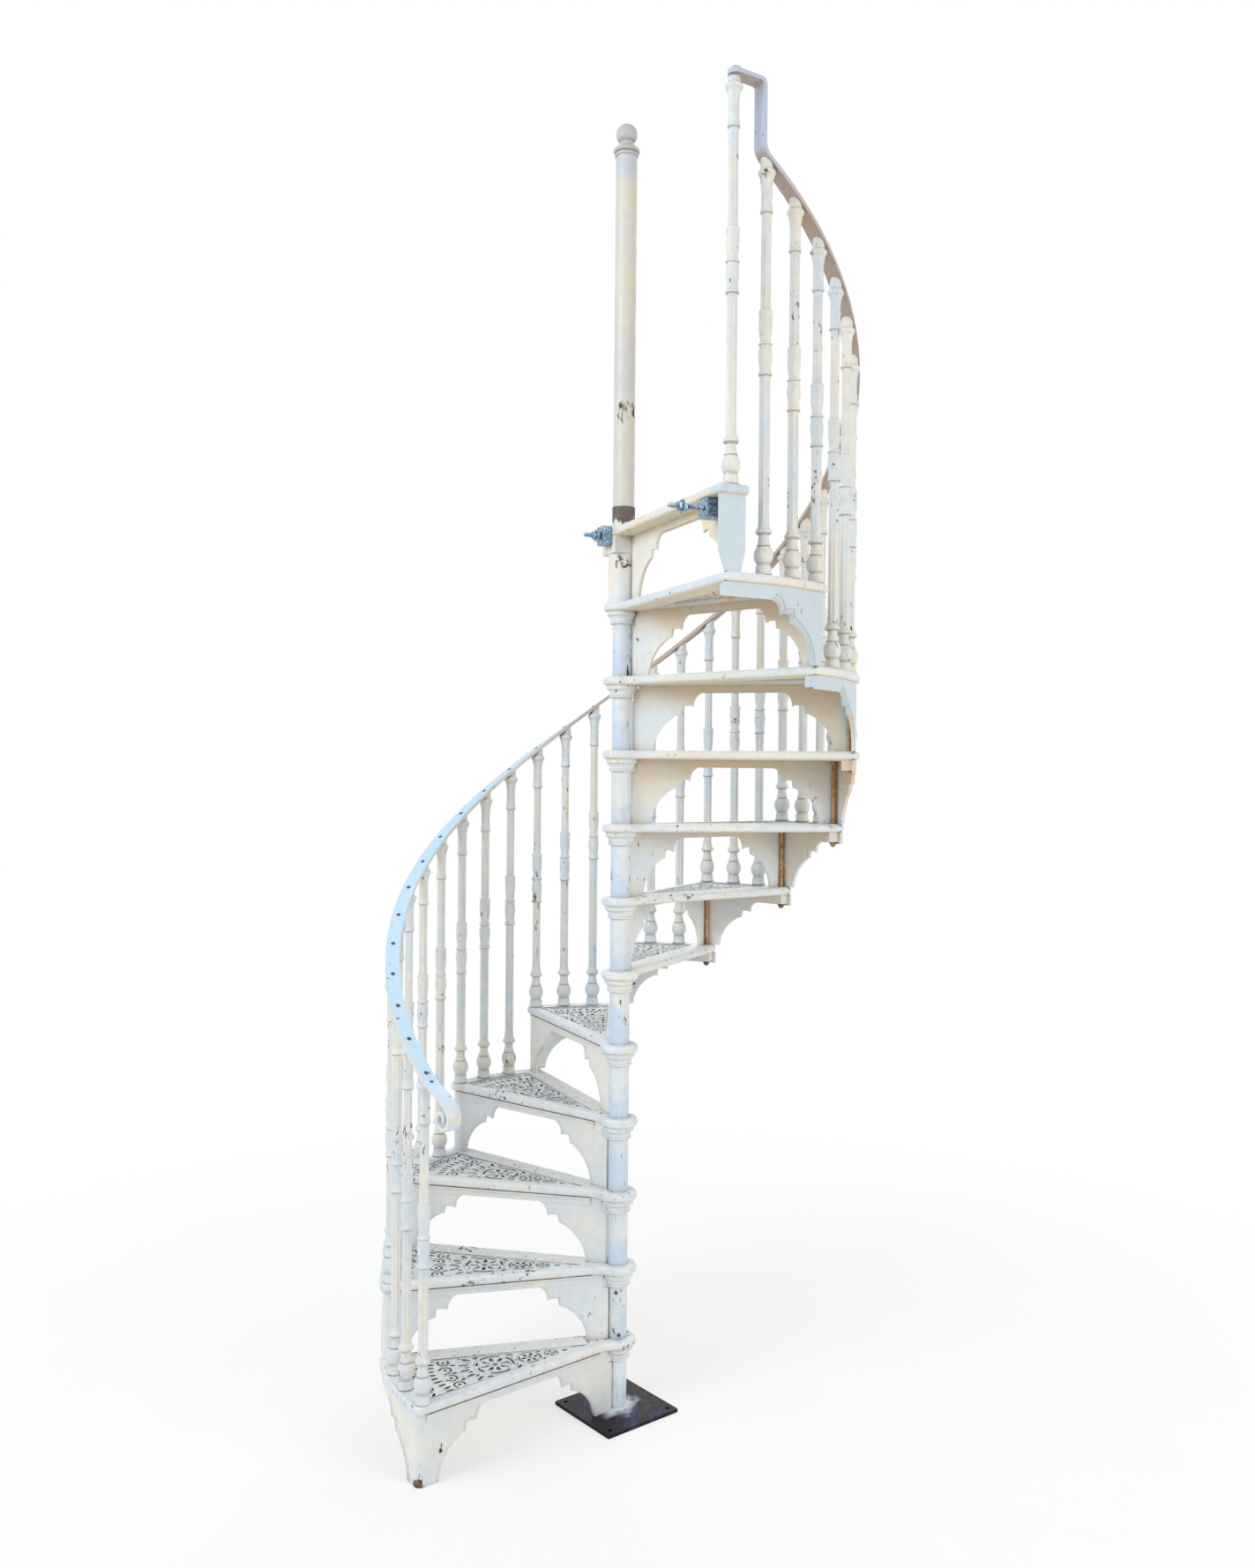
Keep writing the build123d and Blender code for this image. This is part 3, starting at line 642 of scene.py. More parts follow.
@dataclass(frozen=True)
class RailPaint:
    """Thin paint on the flat handrail, with painted light and shade: bright and bluish on top, tan underneath
    higher up.
    """

    name: str = "rail_paint_worn"
    top: Colour = (196, 226, 245)
    side: Colour = (222, 222, 216)
    middle_side: Colour = (194, 176, 160)
    high_side: Colour = (190, 199, 216)
    under: Colour = (176, 155, 140)
    low_under: Colour = (208, 222, 238)
    foot_top: Colour = (224, 230, 238)
    foot: tuple[float, float] = (0.945, 1.010)
    chip: Colour = (92, 84, 88)
    chip_bar: float = 0.745

    def material(self) -> bpy.types.Material:
        """Build the rail's material.

        Returns:
            The material.
        """
        graph = Graph(self.name)
        height = graph.height()
        facing = graph.facing().outputs["Z"]
        side = graph.mix(graph.ramp(height, 1.75, 2.0), linear(*self.side), linear(*self.middle_side))
        side = graph.mix(graph.ramp(height, 3.10, 3.30), side, linear(*self.high_side))
        # Painted light on the top: bright and bluish, less so near the rail's foot.
        top = graph.mix(graph.ramp(height, *self.foot), linear(*self.foot_top), linear(*self.top))
        colour = graph.mix(graph.ramp(facing, 0.25, 0.7), side, top)
        # Painted shade underneath: bluish low down and warm tan higher up.
        below = graph.math("MULTIPLY", facing, -1.0)
        under = graph.mix(graph.ramp(height, 1.25, 1.75), linear(*self.low_under), linear(*self.under))
        colour = graph.mix(graph.ramp(below, 0.2, 0.6, 0.9), colour, under)
        mottle = graph.ramp(graph.noise(22.0, 4.0, 0.6), 0.42, 0.75, 0.25)
        colour = graph.mix(mottle, colour, side)
        edge = graph.math("MULTIPLY", graph.edges(0.004), 0.10)
        speck = graph.math("ADD", graph.noise(48.0, 6.0, 0.68), edge)
        bare = graph.ramp(speck, self.chip_bar, self.chip_bar + 0.02)
        colour = graph.mix(bare, colour, linear(*self.chip))
        gloss = graph.ramp(graph.noise(18.0, 3.0), 0.3, 0.7, 0.18)
        roughness = graph.math("ADD", gloss, 0.34)
        normal = graph.bump(graph.noise(120.0, 3.0, 0.6), 0.2, 0.0005)
        normal = graph.bump(graph.inverse(bare), 0.6, 0.0005, normal)
        return graph.finish(colour, roughness, normal)


@dataclass(frozen=True)
class OiledPlate:
    """Blackened steel plate, streaked with blue oil and dusted with paint round the column."""

    name: str = "blackened_plate"
    black: Colour = (30, 29, 36)
    blue: Colour = (74, 88, 128)
    paint: Colour = (214, 224, 236)
    scuffs: Colour = (96, 94, 98)
    foot: float = 0.028
    solid_dust: float = 0.024
    dusted: float = 0.075

    def material(self) -> bpy.types.Material:
        """Build the plate's material.

        Returns:
            The material.
        """
        graph = Graph(self.name)
        smear = graph.noise(1.0, 5.0, 0.65, stretch=(28.0, 9.0, 9.0))
        colour = graph.mix(graph.ramp(smear, 0.50, 0.72, 0.7), linear(*self.black), linear(*self.blue))
        ragged = graph.ramp(graph.noise(24.0, 4.0, 0.6), 0.2, 0.8, 0.05)
        distance = graph.math("ADD", graph.from_axis(), ragged)
        near = graph.inverse(graph.ramp(distance, self.foot + self.solid_dust, self.foot + self.dusted))
        colour = graph.mix(near, colour, linear(*self.paint))
        scratch = graph.noise(1.0, 4.0, 0.6, stretch=(15.0, 160.0, 20.0))
        scuff = graph.ramp(scratch, 0.62, 0.72, 0.35)
        colour = graph.mix(scuff, colour, linear(*self.scuffs))
        roughness = graph.math("ADD", graph.ramp(smear, 0.3, 0.7, 0.3), 0.32)
        normal = graph.bump(graph.noise(140.0, 3.0), 0.25, 0.0004)
        return graph.finish(colour, roughness, normal, graph.math("SUBTRACT", 0.75, near))


@dataclass(frozen=True)
class Zinc:
    """Bright zinc plating with faint bluish crystals."""

    name: str = "zinc_plating"
    light: Colour = (192, 212, 224)
    dark: Colour = (112, 142, 170)
    grime_and_shade: Colour = (52, 56, 62)

    def material(self) -> bpy.types.Material:
        """Build the plating's material.

        Returns:
            The material.
        """
        graph = Graph(self.name)
        cell = graph.node("ShaderNodeTexVoronoi", {"Vector": graph.place, "Scale": 190.0})
        grain = graph.ramp(cell.outputs["Distance"], 0.1, 0.7)
        colour = graph.mix(grain, linear(*self.light), linear(*self.dark))
        # Hollows are darkened: soiling, with painted shade.
        grime_and_shade = graph.ramp(graph.hollows(0.006), 0.35, 0.9, 0.75)
        colour = graph.mix(grime_and_shade, colour, linear(*self.grime_and_shade))
        roughness = graph.math("ADD", graph.ramp(graph.noise(60.0), 0.3, 0.7, 0.2), 0.26)
        normal = graph.bump(graph.noise(300.0, 2.0), 0.15, 0.0002)
        return graph.finish(colour, roughness, normal, 0.8)


@dataclass(frozen=True)
class RustySteel:
    """Bare steel going from grey-brown to orange rust, with nuts of their own colour on the rods.

    A nut radius of 1 m leaves the nuts out, and drips below the floor leave the drips out.
    """

    name: str
    steel: Colour = (112, 100, 90)
    rust: Colour = (142, 96, 58)
    dark: Colour = (52, 42, 36)
    rusted: float = 0.5
    bite: float = 0.5
    drips_at: float = -1.0
    drips: Colour = (226, 224, 216)
    nut_radius: float = 1.0
    nuts: Colour = (74, 68, 66)
    high_nuts: Colour = (186, 160, 126)
    axis_radius: float = 0.630
    first: float = 220.0
    turn: float = 26.0
    steps_on: int = 41

    def off_axis(self, graph: Graph) -> bpy.types.NodeSocket:
        """How far a point lies from the axis of the nearest rod.

        Args:
            graph: The material being put together.

        Returns:
            The distance, measured square to the axis.
        """
        axes = graph.node("ShaderNodeSeparateXYZ", {"Vector": graph.place})
        angle = graph.math("ARCTAN2", axes.outputs["Y"], axes.outputs["X"], share=False)
        # whole steps are added so that every angle is positive, and half a step so that a rod is mid-step
        turned_on = math.radians((self.steps_on + 0.5) * self.turn - self.first)
        angle = graph.math("ADD", angle, turned_on, share=False)
        angle = graph.math("MODULO", angle, math.radians(self.turn), share=False)
        aside = graph.math("SUBTRACT", angle, math.radians(0.5 * self.turn), share=False)
        aside = graph.math("MULTIPLY", graph.absolute(aside), self.axis_radius)
        past = graph.math("SUBTRACT", graph.from_axis(), self.axis_radius, share=False)
        past = graph.absolute(past)
        return graph.math("MAXIMUM", aside, past)

    def material(self) -> bpy.types.Material:
        """Build the steel's material.

        Returns:
            The material.
        """
        graph = Graph(self.name)
        height = graph.height()
        blotch = graph.noise(42.0, 6.0, 0.68)
        middle = 0.62 - 0.22 * self.rusted
        colour = graph.mix(graph.ramp(blotch, middle, middle + 0.14), linear(*self.steel), linear(*self.rust))
        pit = graph.ramp(graph.noise(150.0, 4.0, 0.6, shift=(2.0, 1.0, 0.0)), 0.56, 0.66, 0.8)
        colour = graph.mix(pit, colour, linear(*self.dark))
        if self.nut_radius < 1.0:
            nut = graph.mix(graph.ramp(height, 1.2, 1.9), linear(*self.nuts), linear(*self.high_nuts))
            on_nut = graph.ramp(self.off_axis(graph), self.nut_radius, self.nut_radius + 0.0004, 0.85)
            colour = graph.mix(on_nut, colour, nut)
        # Hollows are darkened: soiling, with painted shade.
        grime_and_shade = graph.ramp(graph.hollows(0.008), 0.35, 0.9, 0.6)
        colour = graph.mix(grime_and_shade, colour, linear(*self.dark))
        ragged = graph.ramp(graph.noise(1.0, 3.0, 0.5, stretch=(110.0, 110.0, 20.0)), 0.35, 0.7, 0.030)
        low = graph.math("SUBTRACT", height, ragged, share=False)
        dripped = graph.inverse(graph.ramp(low, self.drips_at, self.drips_at + 0.003))
        colour = graph.mix(dripped, colour, linear(*self.drips))
        roughness = graph.math("ADD", graph.ramp(blotch, 0.3, 0.7, 0.25), 0.5)
        normal = graph.bump(graph.noise(130.0, 5.0, 0.65), self.bite, 0.0012)
        return graph.finish(colour, roughness, normal, 0.35)


# ---------------------------------------------------------------- modelling by hand
def clear_selection() -> None:
    """Leave object mode's selection empty."""
    if bpy.context.mode != "OBJECT":
        bpy.ops.object.mode_set(mode="OBJECT")
    bpy.ops.object.select_all(action="DESELECT")


def work_on(obj: bpy.types.Object) -> None:
    """Select one object alone and open it in edit mode.

    Args:
        obj: The object.
    """
    clear_selection()
    obj.select_set(True)
    bpy.context.view_layer.objects.active = obj
    bpy.ops.object.mode_set(mode="EDIT")


def pick(obj: bpy.types.Object, test: Callable[[Vector], bool]) -> None:
    """Select the vertices that pass a test, in edit mode.

    Args:
        obj: The object in edit mode.
        test: Told each vertex's place.
    """
    bpy.ops.mesh.select_mode(type="VERT")
    bpy.ops.mesh.select_all(action="DESELECT")
    shape = bmesh.from_edit_mesh(obj.data)
    for vertex in shape.verts:
        vertex.select = test(vertex.co)
    shape.select_flush(True)
    bmesh.update_edit_mesh(obj.data)


def pick_faces(obj: bpy.types.Object, test: Callable[[Vector, Vector], bool]) -> None:
    """Select the faces that pass a test, in edit mode.

    Args:
        obj: The object in edit mode.
        test: Told each face's middle and normal.
    """
    bpy.ops.mesh.select_mode(type="FACE")
    bpy.ops.mesh.select_all(action="DESELECT")
    shape = bmesh.from_edit_mesh(obj.data)
    for face in shape.faces:
        face.select = test(face.calc_center_median(), face.normal)
    bmesh.update_edit_mesh(obj.data)


def face_outwards() -> None:
    """Turn every face of the mesh in edit mode outwards, then leave edit mode."""
    bpy.ops.mesh.select_all(action="SELECT")
    bpy.ops.mesh.normals_make_consistent(inside=False)
    bpy.ops.object.mode_set(mode="OBJECT")


def climb(rings: Sequence[Ring]) -> None:
    """Extrude the selected round face up through a chain of rings.

    Args:
        rings: Radius and height of each ring, the first where the face is now.
    """
    for (radius, height), (next_radius, next_height) in zip(rings, rings[1:]):
        rise = {"value": (0.0, 0.0, next_height - height)}
        bpy.ops.mesh.extrude_region_move(TRANSFORM_OT_translate=rise)
        grow = next_radius / radius
        bpy.ops.transform.resize(value=(grow, grow, 1.0), center_override=(0.0, 0.0, next_height))


def turned(name: str, rings: Sequence[Ring], sides: int) -> bpy.types.Object:
    """Model a solid of turning about the Z axis.

    Args:
        name: Name of the object.
        rings: Radius and height of each ring, from the foot up.
        sides: Vertices round each ring.

    Returns:
        The object, in object mode.
    """
    clear_selection()
    foot_radius, foot_height = rings[0]
    bpy.ops.mesh.primitive_circle_add(
        vertices=sides, radius=foot_radius, fill_type="NGON", location=(0.0, 0.0, foot_height)
    )
    made = bpy.context.object
    made.name = name
    bpy.ops.object.transform_apply(location=True, rotation=True, scale=True)
    work_on(made)
    bpy.ops.mesh.select_all(action="SELECT")
    climb(rings)
    face_outwards()
    return made


def bow(start: Ring, middle: Ring, end: Ring, pieces: int) -> list[Ring]:
    """Points of an arc through three points, without the first one.

    Args:
        start: Where the arc starts.
        middle: A point that it passes.
        end: Where it ends.
        pieces: Number of straight pieces.

    Returns:
        The points after the start.
    """
    (ax, ay), (bx, by), (cx, cy) = start, middle, end
    scale = 2.0 * (ax * (by - cy) + bx * (cy - ay) + cx * (ay - by))
    first, second, third = ax * ax + ay * ay, bx * bx + by * by, cx * cx + cy * cy
    ux = (first * (by - cy) + second * (cy - ay) + third * (ay - by)) / scale
    uy = (first * (cx - bx) + second * (ax - cx) + third * (bx - ax)) / scale
    radius = math.hypot(ax - ux, ay - uy)
    begin = math.atan2(ay - uy, ax - ux)
    past = (math.atan2(by - uy, bx - ux) - begin) % math.tau
    whole = (math.atan2(cy - uy, cx - ux) - begin) % math.tau
    sweep = whole if past <= whole else whole - math.tau
    points = []
    for number in range(1, pieces + 1):
        angle = begin + sweep * number / pieces
        points.append((ux + radius * math.cos(angle), uy + radius * math.sin(angle)))
    return points


def rod_along(name: str, points: Sequence[Point], thickness: float, sides: int = 1) -> bpy.types.Object:
    """Model a round bead along a chain of points.

    Args:
        name: Name of the object.
        points: The bead's middle line.
        thickness: Radius of the bead.
        sides: Smoothness of its section.

    Returns:
        The bead as a mesh.
    """
    clear_selection()
    path = bpy.data.curves.new(name, "CURVE")
    path.dimensions = "3D"
    path.bevel_depth = thickness
    path.bevel_resolution = sides
    path.use_fill_caps = True
    line = path.splines.new("POLY")
    line.points.add(len(points) - 1)
    for target, place in zip(line.points, points):
        target.co = (*place, 1.0)
    made = bpy.data.objects.new(name, path)
    bpy.context.scene.collection.objects.link(made)
    made.select_set(True)
    bpy.context.view_layer.objects.active = made
    bpy.ops.object.convert(target="MESH")
    made = bpy.context.object
    work_on(made)
    bpy.ops.mesh.select_all(action="SELECT")
    bpy.ops.mesh.remove_doubles(threshold=0.00001)
    face_outwards()
    return made


def strip_along(
    name: str, line: Sequence[Ring], width: float, thickness: float, round_off: float
) -> bpy.types.Object:
    """Model a flat bar bent along a line in the XY plane, its width along Z.

    Args:
        name: Name of the object.
        line: The bar's middle line.
        width: Width of the bar.
        thickness: Thickness of the bar.
        round_off: Radius of its long edges.

    Returns:
        The bar as a mesh.
    """
    clear_selection()
    path = bpy.data.curves.new(name, "CURVE")
    path.dimensions = "2D"
    path.extrude = width / 2.0
    run = path.splines.new("POLY")
    run.points.add(len(line) - 1)
    for target, (along, up) in zip(run.points, line):
        target.co = (along, up, 0.0, 1.0)
    made = bpy.data.objects.new(name, path)
    bpy.context.scene.collection.objects.link(made)
    made.select_set(True)
    bpy.context.view_layer.objects.active = made
    bpy.ops.object.convert(target="MESH")
    made = bpy.context.object
    thick = made.modifiers.new("thickness", "SOLIDIFY")
    thick.thickness = thickness
    thick.offset = 0.0
    thick.use_even_offset = True
    soft = made.modifiers.new("round_off", "BEVEL")
    soft.width = round_off
    soft.segments = 2
    soft.limit_method = "ANGLE"
    soft.angle_limit = math.radians(50.0)
    for modifier in ("thickness", "round_off"):
        bpy.ops.object.modifier_apply(modifier=modifier)
    work_on(made)
    face_outwards()
    return made


def copy_to(model: bpy.types.Object, place: Matrix, name: str) -> bpy.types.Object:
    """Copy a model to a place, with its own mesh and its place in the mesh.

    Args:
        model: The model.
        place: Where the copy goes.
        name: Name of the copy.

    Returns:
        The copy.
    """
    made = model.copy()
    made.data = model.data.copy()
    made.name = name
    bpy.context.scene.collection.objects.link(made)
    clear_selection()
    made.select_set(True)
    bpy.context.view_layer.objects.active = made
    made.matrix_world = place
    bpy.ops.object.transform_apply(location=True, rotation=True, scale=True)
    return made


def join(pieces: Sequence[bpy.types.Object], name: str) -> bpy.types.Object:
    """Join pieces into one object.

    Args:
        pieces: The pieces.
        name: Name of the result.

    Returns:
        The joined object.
    """
    clear_selection()
    for piece in pieces:
        piece.select_set(True)
    bpy.context.view_layer.objects.active = pieces[0]
    if len(pieces) > 1:
        bpy.ops.object.join()
    made = bpy.context.object
    made.name = name
    return made


def throw_away(models: Iterable[bpy.types.Object]) -> None:
    """Remove models that have been copied.

    Args:
        models: The models.
    """
    for model in models:
        bpy.data.objects.remove(model, do_unlink=True)


def dress(
    obj: bpy.types.Object,
    material: bpy.types.Material,
    angle: float = 35.0,
    instead_of: Sequence[str] = (),
) -> bpy.types.Object:
    """Give a finished piece its material and its place in the frame.

    Args:
        obj: The piece.
        material: Its finish.
        angle: Edges sharper than this many degrees stay crisp.
        instead_of: CAD nodes that the piece stands for.

    Returns:
        The piece.
    """
    clear_selection()
    obj.select_set(True)
    bpy.context.view_layer.objects.active = obj
    bpy.ops.object.shade_smooth_by_angle(angle=math.radians(angle))
    obj.data.materials.clear()
    obj.data.materials.append(material)
    if instead_of:
        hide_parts(*instead_of)
    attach(obj, "root")
    log.info("piece %s: %d faces", obj.name, len(obj.data.polygons))
    return obj


# ---------------------------------------------------------------- turned balusters
@dataclass
class TurnedBalusters:
    """Balusters with fluted shafts, ribbed vases and ribbed bulbs."""

    layout: Layout
    paint: bpy.types.Material
    sides: int = 32
    flutes: int = 8
    flute_depth: float = 0.84
    head: float = 0.137
    crisp: float = 32.0
    middle: float = 0.343
    landing_height: float = 0.962
    landing_middle: float = 0.453
    seat_gap: float = 0.0005
    spare: float = 0.030
    kinds: tuple[str, ...] = ("short", "middle", "tall")

    def rings(self, height: float, mid: float) -> list[Ring]:
        """Turned outline, foot to head.

        Args:
            height: Height under the rail.
            mid: Height of the foot of the two middle vases.

        Returns:
            Radius and height of each ring.
        """
        # foot and bulb
        line: list[Ring] = [(0.0200, 0.0), (0.0208, 0.0012), (0.0208, 0.0040), (0.0198, 0.0055)]
        line += [(0.0188, 0.0120), (0.0190, 0.0200), (0.0186, 0.0225), (0.0160, 0.0240), (0.0158, 0.0270)]
        line += bow((0.0158, 0.0270), (0.0238, 0.0480), (0.0172, 0.0672), 10)
        line += [(0.0152, 0.0678), (0.0150, 0.0700), (0.0162, 0.0712), (0.0158, 0.0735)]
        line += bow((0.0158, 0.0735), (0.0128, 0.0850), (0.0130, 0.0980), 4)
        # ring over the bulb and lower shaft
        line += bow((0.013, 0.098), (0.020, 0.104), (0.0175, 0.110), 4)
        line += bow((0.0175, 0.110), (0.0145, 0.116), (0.0135, 0.126), 2)
        line += [(0.0135, 0.134), (0.0133, 0.140), (0.0131, mid - 0.018), (0.013, mid - 0.012)]
        # the two middle vases
        line += [(0.013, mid - 0.004), (0.015, mid - 0.003)]
        line += bow((0.015, mid - 0.003), (0.017, mid + 0.001), (0.015, mid + 0.005), 3)
        line += bow((0.015, mid + 0.005), (0.014, mid + 0.014), (0.015, mid + 0.026), 3)
        line += bow((0.015, mid + 0.026), (0.0168, mid + 0.050), (0.014, mid + 0.066), 5)
        line += [(0.0145, mid + 0.069)]
        line += bow((0.0145, mid + 0.069), (0.017, mid + 0.073), (0.0145, mid + 0.077), 3)
        line += [(0.013, mid + 0.080), (0.013, mid + 0.086)]
        line += bow((0.013, mid + 0.086), (0.016, mid + 0.108), (0.0155, mid + 0.142), 6)
        line += [(0.017, mid + 0.146), (0.0165, mid + 0.153), (0.0125, mid + 0.156)]
        line += [(0.0125, mid + 0.162), (0.0124, mid + 0.168)]
        # upper shaft and head
        line += [(0.0121, height - 0.136), (0.012, height - 0.130), (0.012, height - 0.123)]
        line += [(0.014, height - 0.121)]
        line += bow((0.014, height - 0.121), (0.016, height - 0.118), (0.0145, height - 0.114), 3)
        line += [(0.0138, height - 0.104), (0.0125, height - 0.085), (0.0135, height - 0.083)]
        line += [(0.0135, height - 0.077)]
        line += bow((0.0135, height - 0.077), (0.014, height - 0.054), (0.018, height - 0.032), 5)
        line += bow((0.018, height - 0.032), (0.0215, height - 0.024), (0.018, height - 0.017), 4)
        line += [(0.0155, height - 0.015), (0.0155, height + self.spare)]
        return line

    def press(self, obj: bpy.types.Object, low: float, high: float, deep: float) -> None:
        """Press grooves into a stretch of the turning.

        Args:
            obj: The baluster in edit mode.
            low: Height of the stretch's foot.
            high: Height of its head.
            deep: Share of the radius left at the bottom of a groove.
        """
        period = self.sides // self.flutes
        for offset, share in ((period // 2, deep), (period // 2 - 1, (1.0 + deep) / 2.0)):
            wanted = {offset, (period - offset) % period}

            def on_groove(place: Vector, wanted: set[int] = wanted) -> bool:
                """Whether a vertex lies in one of the grooves."""
                turn = round(math.atan2(place.y, place.x) / math.tau * self.sides) % period
                return low < place.z < high and turn in wanted

            pick(obj, on_groove)
            bpy.ops.transform.resize(value=(share, share, 1.0), center_override=(0.0, 0.0, 0.0))

    def model(self, name: str, height: float, mid: float) -> bpy.types.Object:
        """Model one baluster, standing at the origin, too long at its head.

        Args:
            name: Name of the model.
            height: Height under the rail.
            mid: Height of the foot of the two middle vases.

        Returns:
            The model.
        """
        made = turned(name, self.rings(height, mid), self.sides)
        work_on(made)
        for low, high, deep in (
            (0.133, mid - 0.011, self.flute_depth),
            (mid + 0.161, height - 0.129, self.flute_depth),
            (0.034, 0.062, 0.93),
            (mid + 0.030, mid + 0.060, 0.90),
            (mid + 0.092, mid + 0.138, 0.88),
            (height - 0.070, height - 0.034, 0.90),
        ):
            self.press(made, low, high, deep)
        bpy.ops.object.mode_set(mode="OBJECT")
        return made

    def cut(self, obj: bpy.types.Object, height: float, slope: float) -> None:
        """Cut a baluster's head to the underside of the rail.

        Args:
            obj: The baluster.
            height: Height under the rail.
            slope: Slope of the rail in radians.
        """
        work_on(obj)
        bpy.ops.mesh.select_all(action="SELECT")
        bpy.ops.mesh.bisect(
            plane_co=(0.0, 0.0, height - self.seat_gap),
            plane_no=(0.0, math.sin(slope), math.cos(slope)),
            use_fill=True,
            clear_outer=True,
        )
        face_outwards()

    def stand(self, model: bpy.types.Object, lowest: float, number: int, index: int) -> bpy.types.Object:
        """Copy a model to its tread, stretched to meet the rail there.

        Args:
            model: The model for this third of a tread.
            lowest: Height the model was made for.
            number: Step number.
            index: 0 to 2, from the nosing to the back of the tread.

        Returns:
            The standing baluster.
        """
        height = self.layout.seat_height(number, index)
        made = copy_to(model, Matrix.Identity(4), f"{model.name}_{number:02d}")
        work_on(made)
        pick(made, lambda place: place.z > lowest - self.head)
        bpy.ops.transform.translate(value=(0.0, 0.0, height - lowest))
        bpy.ops.object.mode_set(mode="OBJECT")
        self.cut(made, height, self.layout.slope)
        placed = copy_to(made, self.layout.post(number, index), f"{model.name}_{number:02d}_placed")
        throw_away([made])
        return placed

    def build(self) -> None:
        """Build all balusters, in the place of the plain turned ones."""
        for index, kind in enumerate(self.kinds):
            lowest = self.layout.seat_height(1, index)
            mid = self.middle + index * self.layout.rise / self.layout.per_tread
            model = self.model(f"baluster_{kind}", lowest, mid)
            standing = [
                self.stand(model, lowest, number, index) for number in range(1, self.layout.landing)
            ]
            throw_away([model])
            made = join(standing, f"fluted_balusters_{kind}")
            dress(made, self.paint, self.crisp, (f"balusters_{kind}",))
        model = self.model("baluster_last", self.landing_height, self.landing_middle)
        self.cut(model, self.landing_height, 0.0)
        placed = copy_to(model, self.layout.post(self.layout.landing, 0), "fluted_baluster_landing")
        throw_away([model])
        dress(placed, self.paint, self.crisp, ("baluster_landing",))


